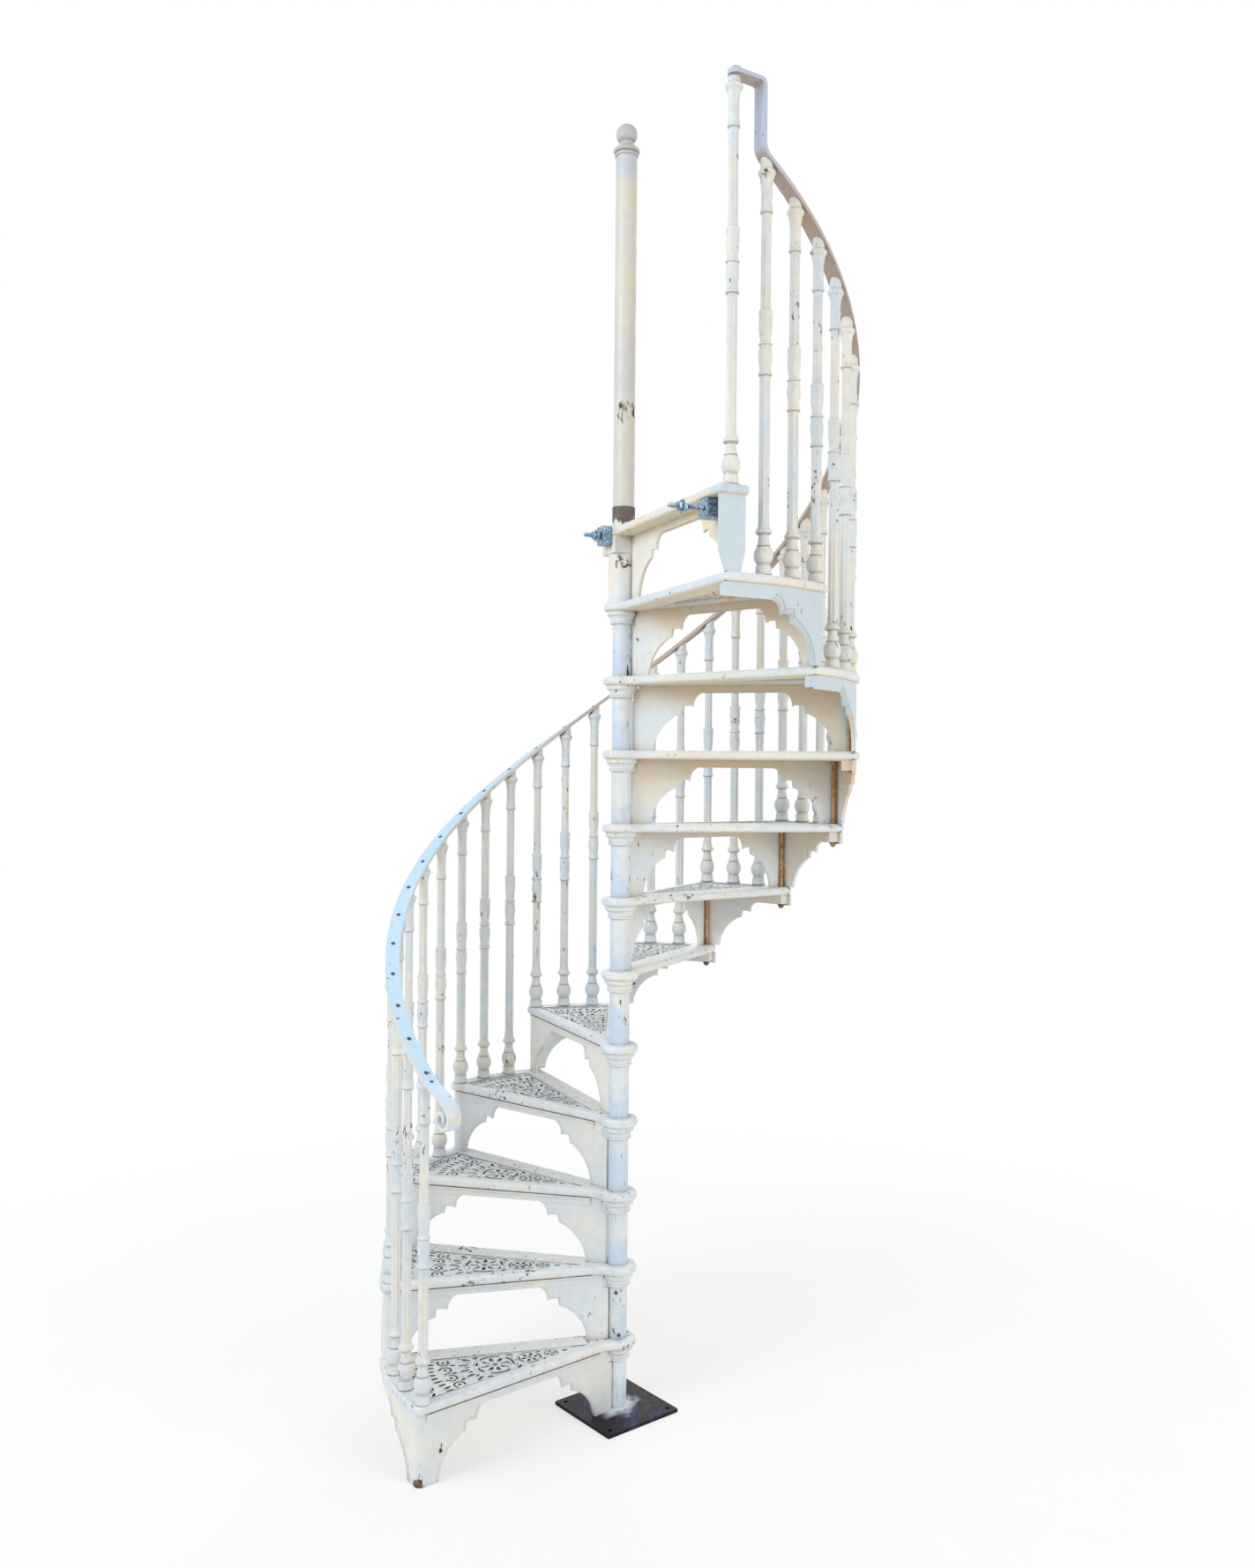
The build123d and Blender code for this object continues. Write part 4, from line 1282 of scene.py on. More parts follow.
# ---------------------------------------------------------------- relief on the treads
@dataclass
class TreadRelief:
    """Raised ribs of the cast pattern round the treads' piercings."""

    layout: Layout
    paint: bpy.types.Material
    recess: float = 0.002
    nosing: float = 0.023
    front_rim: float = 0.028
    rear_rim: float = 0.065
    rear_offset: float = 0.025
    outer: float = 0.603
    rosette_share: float = 0.451
    rosette_border: float = 0.005
    rosettes: int = 3
    rosette_rings: tuple[float, ...] = (1.03, 0.755, 0.19)
    # place along and across the field, as shares of the first rosette's, and radius
    scrolls: tuple[tuple[float, float, float], ...] = (
        (1.485, 0.090, 0.0205),
        (1.455, 0.245, 0.0195),
        (1.765, 0.070, 0.016),
        (1.755, 0.215, 0.016),
    )
    scroll_gap: float = 20.0
    scroll_sweep: float = 290.0
    petals: tuple[int, ...] = (-40, -20, 0, 20, 40)
    petal_reach: tuple[float, float] = (0.245, 0.40)
    petal_lean: tuple[float, float] = (0.12, 0.10)
    border: float = 0.004
    border_start: float = 0.045
    border_turn: float = 0.012
    rib: float = 0.0016
    border_rib: float = 0.0019

    def __post_init__(self) -> None:
        """Work out where the pierced field starts."""
        self.half = math.radians(self.layout.turn / 2.0)
        whole = math.radians(self.layout.turn)
        front = self.nosing - self.front_rim
        rear = self.rear_rim - self.rear_offset
        self.point = ((rear - front * math.cos(whole)) / math.sin(whole), front)
        self.far = self.rosette_share * self.outer

    def flat(self, points: Sequence[Ring]) -> list[Point]:
        """Lay points of the field's own plan on its surface.

        Args:
            points: Points from the field's tip, X along its middle line.

        Returns:
            The points in the tread's frame.
        """
        turn, laid = -self.half, []
        for x, y in points:
            along = self.point[0] + x * math.cos(turn) - y * math.sin(turn)
            across = self.point[1] + x * math.sin(turn) + y * math.cos(turn)
            laid.append((along, across, -self.recess))
        return laid

    def ring(self, middle: Ring, radius: float, start: float = 0.0, sweep: float = 360.0) -> bpy.types.Object:
        """Model a rib round a piercing.

        Args:
            middle: Middle of the ring in the field's plan.
            radius: Radius of the rib.
            start: Direction of its start in degrees.
            sweep: Degrees it runs, anticlockwise.

        Returns:
            The rib.
        """
        pieces = max(6, round(abs(sweep) / 15.0))
        points = []
        for number in range(pieces + 1):
            angle = math.radians(start + sweep * number / pieces)
            points.append((middle[0] + radius * math.cos(angle), middle[1] + radius * math.sin(angle)))
        return rod_along("rib", self.flat(points), self.rib)

    def line(self, start: Ring, end: Ring, thickness: float) -> bpy.types.Object:
        """Model a straight rib.

        Args:
            start: Where it starts in the field's plan.
            end: Where it ends.
            thickness: Radius of the rib.

        Returns:
            The rib.
        """
        return rod_along("rib", self.flat([start, end]), thickness)

    def model(self) -> bpy.types.Object:
        """Model the relief of one tread, at the origin.

        Returns:
            The relief.
        """
        ratio = (1.0 - math.sin(self.half)) / (1.0 + math.sin(self.half))
        pieces = []
        for number in range(self.rosettes):
            x = self.far * ratio**number
            radius = x * math.sin(self.half) - self.rosette_border
            pieces += [self.ring((x, 0.0), share * radius) for share in self.rosette_rings]
        for x, y, radius in self.scrolls:
            for side in (1.0, -1.0):
                middle = (x * self.far, side * y * self.far)
                gap, sweep = side * self.scroll_gap, side * self.scroll_sweep
                pieces.append(self.ring(middle, radius, gap, sweep))
        for petal in self.petals:
            ends = []
            for share, lean in zip(self.petal_reach, self.petal_lean):
                turn, out = math.radians(petal) + lean, share * self.far
                ends.append((self.far + out * math.cos(turn), out * math.sin(turn)))
            pieces.append(self.line(*ends, self.rib))
        reach = self.outer - self.point[0] - self.border
        for side in (1.0, -1.0):
            turn = side * (self.half - self.border_turn)
            near, far = [(out * math.cos(turn), out * math.sin(turn)) for out in (self.border_start, reach)]
            pieces.append(self.line(near, far, self.border_rib))
        return join(pieces, "relief_model")

    def build(self) -> None:
        """Copy the relief to every tread."""
        model = self.model()
        for number in range(1, self.layout.landing):
            made = copy_to(model, self.layout.step(number), f"tread_relief_{number:02d}")
            dress(made, self.paint)
        throw_away([model])


# ---------------------------------------------------------------- mouldings on the risers
@dataclass
class RiserMouldings:
    """Beads along the fretwork's edges, the hollow moulding under each nosing and the caulking."""

    layout: Layout
    paint: bpy.types.Material
    half_span: float = 0.251
    crown: float = 0.163
    bow_radius: float = 0.038
    side_span: float = 0.253
    side_crown: float = 0.148
    side_bow: float = 0.030
    cusp_in: float = 0.114
    shoulder_in: float = 0.083
    shoulder_drop: float = 0.023
    bead: float = 0.0026
    margin: float = 0.004
    second_margin: float = 0.0125
    inner_edge: float = 0.031
    inner_lip: float = 0.0026
    lip_height: float = 0.142
    lip_width: float = 0.007
    caulk_width: float = 0.0056
    web_middle: float = 0.011
    moulding_run: tuple[float, float] = (0.075, 0.628)
    notch: tuple[float, float] = (0.1440, 0.1725)
    notch_edge: float = 0.0455

    def arch(self, half_span: float, crown: float, radius: float) -> list[Ring]:
        """Half of a stepped arch, from its middle line to the inside of a foot.

        Args:
            half_span: Half the arch's width at its foot.
            crown: Its height.
            radius: Radius of its upper corner.

        Returns:
            Points along the arch.
        """
        cusp, shoulder = half_span - self.cusp_in, half_span - self.shoulder_in
        step = crown - radius
        spring = step - self.shoulder_drop
        line: list[Ring] = [(0.0, crown), (cusp - radius, crown)]
        slant = radius * math.sqrt(0.5)
        line += bow((cusp - radius, crown), (cusp - radius + slant, step + slant), (cusp, step), 6)
        line += [(cusp + 0.001, step - 0.004), (cusp + 0.006, step), (shoulder, step)]
        line += [(shoulder + 0.003, spring + 0.001), (shoulder + 0.010, spring)]
        line += bow((shoulder + 0.010, spring), (half_span - 0.030, 0.7 * spring), (half_span, 0.003), 8)
        return line

    def front_bead(self) -> bpy.types.Object:
        """Model the bead on the front web's arch, in a step's frame.

        Returns:
            The bead.
        """
        half = self.arch(self.half_span + self.margin, self.crown + self.margin, self.bow_radius)
        whole = [(-x, z) for x, z in reversed(half[1:])] + half
        face = self.layout.web_front
        points = [(self.layout.arch_middle + x, face, z) for x, z in whole]
        return rod_along("front_bead", points, self.bead)

    def side_bead(self, margin: float) -> bpy.types.Object:
        """Model a bead on the curved side web, in a step's frame.

        Args:
            margin: How far it lies from the edge of the arch.

        Returns:
            The bead.
        """
        half = self.arch(self.side_span + margin, self.side_crown + margin, self.side_bow)
        middle = math.radians(self.layout.turn / 2.0)
        radius = self.layout.side_radius
        points = []
        for x, z in half:
            angle = math.asin((x - radius * math.sin(middle)) / radius) - middle
            points.append((radius * math.cos(angle), radius * math.sin(angle), z))
        start = [place for place in points if place[2] > 0.0]
        return rod_along("side_bead", start[1:], self.bead)

    def nosing_moulding(self, start: float, end: float) -> bpy.types.Object:
        """Model the hollow moulding under a nosing, in a step's frame.

        Args:
            start: Distance of its inner end from the column's axis.
            end: Distance of its outer end.

        Returns:
            The moulding.
        """
        top = self.layout.rise - self.layout.tread_edge
        face = self.layout.web_front
        low, high = (face + 0.0022, top - 0.018), (face + 0.0068, top - 0.004)
        section: list[Ring] = [(face - 0.002, top - 0.022), (face + 0.0015, top - 0.022), low]
        section += bow(low, (face + 0.0034, top - 0.009), high, 4)
        section += [(face + 0.0068, top), (face - 0.002, top)]
        clear_selection()
        bpy.ops.mesh.primitive_circle_add(vertices=len(section), radius=0.01, fill_type="NGON")
        made = bpy.context.object
        made.name = "nosing_moulding"
        work_on(made)
        shape = bmesh.from_edit_mesh(made.data)
        in_turn = sorted(shape.verts, key=lambda vertex: -math.atan2(vertex.co.y, vertex.co.x))
        for vertex, (y, z) in zip(in_turn, section):
            vertex.co = (start, y, z)
        bmesh.update_edit_mesh(made.data)
        bpy.ops.mesh.select_all(action="SELECT")
        bpy.ops.mesh.extrude_region_move(TRANSFORM_OT_translate={"value": (end - start, 0.0, 0.0)})
        face_outwards()
        return made

    def lip(self) -> bpy.types.Object:
        """Model the caulked lip between a riser's inner edge and the column, in a step's frame.

        Returns:
            The lip.
        """
        clear_selection()
        middle = (self.inner_edge - self.inner_lip / 2.0, self.web_middle, self.lip_height / 2.0)
        bpy.ops.mesh.primitive_cube_add(size=1.0, location=middle)
        made = bpy.context.object
        made.name = "inner_lip"
        made.scale = (self.inner_lip, self.lip_width, self.lip_height)
        bpy.ops.object.transform_apply(location=True, rotation=True, scale=True)
        work_on(made)
        pick_faces(made, lambda middle, normal: normal.y < -0.9)
        bpy.ops.transform.resize(value=(1.0, 1.0, 0.96), center_override=middle)
        face_outwards()
        return made

    def notch_fill(self) -> bpy.types.Object:
        """Model the caulking between a riser's notch and the capital, in a step's frame.

        Returns:
            The caulking.
        """
        clear_selection()
        low, high = self.notch
        middle = ((self.inner_edge + self.notch_edge) / 2.0, self.web_middle, (low + high) / 2.0)
        bpy.ops.mesh.primitive_cube_add(size=1.0, location=middle)
        made = bpy.context.object
        made.name = "notch_fill"
        made.scale = (self.notch_edge - self.inner_edge, self.caulk_width, high - low)
        bpy.ops.object.transform_apply(location=True, rotation=True, scale=True)
        work_on(made)
        bpy.ops.mesh.select_all(action="SELECT")
        bpy.ops.mesh.bevel(offset=0.0008, segments=2, affect="EDGES")
        face_outwards()
        return made

    def build(self) -> None:
        """Copy the mouldings to every riser."""
        front, lip, fill = self.front_bead(), self.lip(), self.notch_fill()
        side, second = self.side_bead(self.margin), self.side_bead(self.second_margin)
        moulding = self.nosing_moulding(*self.moulding_run)
        whole = [front, side, second, moulding, lip, fill]
        for number in range(1, self.layout.landing + 1):
            place = self.layout.step(number, self.layout.rise)
            models = [front, moulding] if number == self.layout.landing else whole
            copies = [copy_to(model, place, f"{model.name}_{number:02d}") for model in models]
            made = join(copies, f"riser_mouldings_{number:02d}")
            dress(made, self.paint, 40.0)
        throw_away(whole)


# ---------------------------------------------------------------- ends of the rail and the newel
@dataclass
class Volute:
    """The handrail's foot: the bar flattens out, then rolls up under itself."""

    layout: Layout
    paint: bpy.types.Material
    width: float = 0.038
    lead: float = 1.6
    eye: Ring = (0.083, -0.074)
    enter: float = 50.0
    leave: float = -400.0
    first_radius: float = 0.033
    last_radius: float = 0.0065
    stem_pull: float = 0.025
    roll_pull: float = 0.045
    stem_bends: int = 13
    bends: int = 45
    joint: float = 0.0002
    round_off: float = 0.0014

    def line(self) -> list[Ring]:
        """The bar's middle line, from the handrail's end to the eye.

        Returns:
            The line's points, X pointing down the stair and Y up.
        """
        slope = self.layout.slope
        down = Vector((math.cos(slope), -math.sin(slope), 0.0))
        up = Vector((math.sin(slope), math.cos(slope), 0.0))
        start = up * (self.layout.rail_thickness / 2.0) + down * self.joint
        enter = math.radians(self.enter)
        eye = Vector((*self.eye, 0.0))
        rolled = eye + Vector((math.cos(enter), math.sin(enter), 0.0)) * self.first_radius
        way = Vector((math.sin(enter), -math.cos(enter), 0.0))
        near, far = start + down * self.stem_pull, rolled - way * self.roll_pull
        stem = interpolate_bezier(start, near, far, rolled, self.stem_bends + 1)
        points = [(point.x, point.y) for point in stem]
        for number in range(1, self.bends + 1):
            share = number / self.bends
            angle = enter + math.radians(self.leave - self.enter) * share
            radius = self.first_radius + (self.last_radius - self.first_radius) * share
            points.append((eye.x + radius * math.cos(angle), eye.y + radius * math.sin(angle)))
        return points

    def build(self) -> None:
        """Build the volute in the place of the plain one."""
        layout = self.layout
        line, thickness = self.line(), layout.rail_thickness
        model = strip_along("rolled_volute_model", line, self.width, thickness, self.round_off)
        pitch = (layout.rise + layout.rail_creep) * 360.0 / layout.turn
        level = layout.rise + layout.shortest - pitch * self.lead / 360.0
        turn = Matrix.Rotation(math.radians(layout.first + self.lead), 4, "Z")
        stand = Matrix.Translation((layout.rail_radius, 0.0, level))
        upright = Matrix(((0.0, 0.0, 1.0), (1.0, 0.0, 0.0), (0.0, 1.0, 0.0))).to_4x4()
        made = copy_to(model, turn @ stand @ upright, "rolled_volute")
        throw_away([model])
        dress(made, self.paint, 40.0, ("rail_volute",))


@dataclass
class NewelFinial:
    """Turned ball on a ringed collar, closing the newel's tube."""

    paint: bpy.types.Material
    foot: float = 3.513
    ball: float = 0.030
    centre: float = 0.063
    neck: float = 0.0205
    sides: int = 40

    def build(self) -> None:
        """Build the finial in the place of the plain one."""
        under_ball = (self.neck, self.centre - math.sqrt(self.ball**2 - self.neck**2))
        top = (0.0006, self.centre + 0.99999 * self.ball)
        rings: list[Ring] = [(0.0318, 0.0), (0.0326, 0.0010), (0.0326, 0.0080), (0.0316, 0.0095)]
        rings += [(0.0340, 0.0105)]
        rings += bow((0.0340, 0.0105), (0.0372, 0.0165), (0.0340, 0.0230), 8)
        rings += [(0.0310, 0.0245)]
        rings += bow((0.0310, 0.0245), (0.0235, 0.0290), (self.neck, 0.0370), 5)
        rings += [under_ball]
        rings += bow(under_ball, (self.ball, self.centre), top, 22)
        model = turned("ball_finial_model", rings, self.sides)
        made = copy_to(model, Matrix.Translation((0.0, 0.0, self.foot)), "ball_finial")
        throw_away([model])
        dress(made, self.paint, 32.0, ("newel_finial",))


# ---------------------------------------------------------------- screws
@dataclass
class Screws:
    """Slotted screws along the handrail and set screws in the column's collars."""

    layout: Layout
    steel: bpy.types.Material
    head: float = 0.0060
    proud: float = 0.0012
    slot_width: float = 0.0011
    slot_depth: float = 0.0011
    past_first: float = 2.9
    drop: float = 0.0205
    turned_on: float = 47.0
    set_radius: float = 0.0050
    set_depth: float = 0.004
    set_head: float = 0.003
    # step, direction in degrees, distance from the axis and height past the step
    collars: tuple[tuple[int, float, float, float], ...] = (
        (1, -78.0, 0.028, 0.012),
        (2, -96.0, 0.028, -0.075),
        (6, -24.0, 0.0425, -0.034),
    )

    def slotted(self) -> bpy.types.Object:
        """Model a slotted screw head, its seat at the origin.

        Returns:
            The screw.
        """
        head, proud = self.head, self.proud
        rings = [(head, -0.0008), (head, 0.0003), (0.9 * head, 0.8 * proud), (0.6 * head, proud)]
        made = turned("slotted_screw", rings, 14)
        work_on(made)
        half = self.slot_width / 2.0
        for side in (half, -half):
            bpy.ops.mesh.select_all(action="SELECT")
            bpy.ops.mesh.bisect(plane_co=(0.0, side, 0.0), plane_no=(0.0, 1.0, 0.0))
        pick_faces(made, lambda middle, normal: abs(middle.y) < half and normal.z > 0.9)
        drop = {"value": (0.0, 0.0, -self.slot_depth)}
        bpy.ops.mesh.extrude_region_move(TRANSFORM_OT_translate=drop)
        face_outwards()
        return made

    def set_screw(self) -> bpy.types.Object:
        """Model a set screw with a raised head along Z, its seat at the origin.

        Returns:
            The screw.
        """
        clear_selection()
        bpy.ops.mesh.primitive_cylinder_add(vertices=8, radius=self.set_radius, depth=self.set_depth)
        made = bpy.context.object
        made.name = "set_screw"
        work_on(made)
        pick_faces(made, lambda middle, normal: normal.z > 0.9)
        bpy.ops.mesh.inset(thickness=0.0012, depth=0.0)
        top = self.set_depth / 2.0 + self.set_head
        bpy.ops.mesh.extrude_region_move(TRANSFORM_OT_translate={"value": (0.0, 0.0, self.set_head)})
        bpy.ops.transform.resize(value=(0.86, 0.86, 1.0), center_override=(0.0, 0.0, top))
        face_outwards()
        return made

    def on_rail(self) -> bpy.types.Object:
        """Place a screw over every baluster of the stair, and one on the volute.

        Returns:
            The screws.
        """
        model, layout = self.slotted(), self.layout
        tilt = Matrix.Rotation(-layout.slope, 4, "X")
        seat = Matrix.Translation((0.0, 0.0, layout.rail_thickness))
        heads = []
        for number in range(1, layout.landing):
            for index in range(layout.per_tread):
                lift = Matrix.Translation((0.0, 0.0, layout.seat_height(number, index)))
                turn = self.turned_on * (layout.per_tread * number + index)
                spun = Matrix.Rotation(math.radians(turn), 4, "Z")
                place = layout.post(number, index) @ lift @ tilt @ seat @ spun
                heads.append(copy_to(model, place, f"rail_screw_{number:02d}_{index}"))
        down = Matrix.Rotation(math.radians(self.past_first), 4, "Z")
        level = layout.seat_height(1, 0) + layout.rail_thickness - self.drop
        place = down @ layout.post(1, 0) @ Matrix.Translation((0.0, 0.0, level)) @ tilt
        heads.append(copy_to(model, place, "rail_screw_volute"))
        throw_away([model])
        return join(heads, "rail_screws")

    def on_collars(self) -> bpy.types.Object:
        """Place set screws in three of the column's collars.

        Returns:
            The screws.
        """
        model = self.set_screw()
        aside = Matrix.Rotation(math.radians(90.0), 4, "Y")
        heads = []
        for number, direction, radius, height in self.collars:
            level = number * self.layout.rise + height
            turn = Matrix.Rotation(math.radians(direction), 4, "Z")
            place = turn @ Matrix.Translation((radius, 0.0, level)) @ aside
            heads.append(copy_to(model, place, f"collar_screw_{number:02d}"))
        throw_away([model])
        return join(heads, "collar_screws")

    def build(self) -> None:
        """Build all the screws."""
        dress(self.on_rail(), self.steel)
        dress(self.on_collars(), self.steel)


# ---------------------------------------------------------------- landing fixings
@dataclass(frozen=True)
class Fixing:
    """One fixing: its CAD node, its place behind the last riser, its bracket's size and its nut's seat."""

    name: str
    node: str
    along: float
    behind: float
    drop: float
    height: float
    depth: float
    seat: float


INNER_FIXING = Fixing(
    "stud_fixing_inner",
    "landing_fixing_inner",
    along=0.0,
    behind=0.044,
    drop=0.0215,
    height=0.052,
    depth=0.028,
    seat=0.028,
)
OUTER_FIXING = Fixing(
    "stud_fixing_outer",
    "landing_fixing_outer",
    along=0.572,
    behind=-0.007,
    drop=0.0473,
    height=0.046,
    depth=0.052,
    seat=0.094,
)


@dataclass
class LandingFixings:
    """Plated brackets, threaded studs, nuts and washers that bolt the stair to a landing."""

    layout: Layout
    zinc: bpy.types.Material
    fixings: tuple[Fixing, ...] = (INNER_FIXING, OUTER_FIXING)
    stud: float = 0.006
    pitch: float = 0.00175
    nut_corner: float = 0.0115
    nut_depth: float = 0.010
    washer: float = 0.017
    washer_depth: float = 0.003
    tip: float = 0.024
    bracket_width: float = 0.046

    def thread(self, start: float, end: float) -> bpy.types.Object:
        """Model a threaded stud along Z.

        Args:
            start: Height of its start.
            end: Height of its tip.

        Returns:
            The stud.
        """
        rings: list[Ring] = [(self.stud - 0.001, start)]
        height = start + self.pitch / 2.0
        while height < end - 0.002:
            rings += [(self.stud, height), (self.stud - 0.0009, height + self.pitch / 2.0)]
            height += self.pitch
        rings += [(self.stud - 0.0009, end - 0.0012), (self.stud - 0.0022, end)]
        return turned("thread", rings, 14)

    def nut(self, seat: float) -> bpy.types.Object:
        """Model a hexagon nut with chamfered corners round Z.

        Args:
            seat: Height of its lower face.

        Returns:
            The nut.
        """
        edge = 0.93 * self.nut_corner
        rings = [
            (edge, seat),
            (self.nut_corner, seat + 0.0012),
            (self.nut_corner, seat + self.nut_depth - 0.0012),
            (edge, seat + self.nut_depth),
        ]
        return turned("nut", rings, 6)

    def bracket(self, height: float, depth: float) -> bpy.types.Object:
        """Model a box bracket, standing on the XY plane.

        Args:
            height: Size along Y.
            depth: Size along Z.

        Returns:
            The bracket.
        """
        clear_selection()
        bpy.ops.mesh.primitive_cube_add(size=1.0, location=(0.0, 0.0, depth / 2.0))
        made = bpy.context.object
        made.name = "bracket"
        made.scale = (self.bracket_width, height, depth)
        bpy.ops.object.transform_apply(location=True, rotation=True, scale=True)
        work_on(made)
        bpy.ops.mesh.select_all(action="SELECT")
        bpy.ops.mesh.bevel(offset=0.0024, segments=2, affect="EDGES")
        pick_faces(made, lambda middle, normal: normal.z > 0.99)
        bpy.ops.mesh.inset(thickness=0.004, depth=-0.0012)
        face_outwards()
        return made

    def fixing(self, wanted: Fixing) -> bpy.types.Object:
        """Model a whole fixing along Z.

        Args:
            wanted: The fixing's sizes.

        Returns:
            The fixing.
        """
        past = wanted.seat + self.nut_depth
        end = past + self.washer_depth + self.nut_depth + self.tip
        rim = self.washer - 0.0006
        washer = [(rim, past), (self.washer, past + 0.0008), (self.washer, past + 0.0022)]
        washer += [(rim, past + self.washer_depth)]
        pieces = [
            self.bracket(wanted.height, wanted.depth),
            self.thread(wanted.depth - 0.002, end),
            self.nut(wanted.seat),
            turned("washer", washer, 28),
            self.nut(past + self.washer_depth),
        ]
        return join(pieces, f"{wanted.name}_model")

    def build(self) -> None:
        """Build both fixings, in the place of the plain ones."""
        back = self.layout.step(self.layout.landing) @ Matrix.Rotation(math.pi, 4, "Z")
        stand = Matrix.Rotation(math.radians(-90.0), 4, "X")
        for wanted in self.fixings:
            model = self.fixing(wanted)
            place = back @ Matrix.Translation((-wanted.along, wanted.behind, -wanted.drop)) @ stand
            made = copy_to(model, place, wanted.name)
            throw_away([model])
            dress(made, self.zinc, 30.0, (wanted.node,))


# ---------------------------------------------------------------- foot of the column
@dataclass
class FootWeld:
    """Painted weld round the column's foot."""

    layout: Layout
    paint: bpy.types.Material
    plate: float = 0.009
    lumps: int = 22
    size: float = 0.0045

    def build(self) -> None:
        """Model the weld as a ring of overlapping lumps."""
        clear_selection()
        radius = self.layout.sleeve_radius + 0.0012
        bpy.ops.mesh.primitive_torus_add(
            major_segments=4 * self.lumps,
            minor_segments=8,
            major_radius=radius,
            minor_radius=self.size,
            location=(0.0, 0.0, self.plate),
        )
        made = bpy.context.object
        bpy.ops.object.transform_apply(location=True, rotation=True, scale=True)
        work_on(made)
        period = 4

        def between(place: Vector) -> bool:
            """Whether a vertex lies between two lumps."""
            turn = round(math.atan2(place.y, place.x) / math.tau * period * self.lumps) % period
            return turn == 2

        pick(made, between)
        bpy.ops.transform.resize(value=(0.978, 0.978, 0.7), center_override=(0.0, 0.0, self.plate))
        bpy.ops.mesh.select_all(action="SELECT")
        low = (0.0, 0.0, self.plate - 0.001)
        bpy.ops.mesh.bisect(plane_co=low, plane_no=(0.0, 0.0, -1.0), use_fill=True, clear_outer=True)
        face_outwards()
        made.name = "foot_weld"
        dress(made, self.paint, 60.0)


# ---------------------------------------------------------------- stage
@dataclass(frozen=True)
class Lamp:
    """A soft round lamp."""

    name: str
    place: Point
    size: float
    power: float
    colour: Point


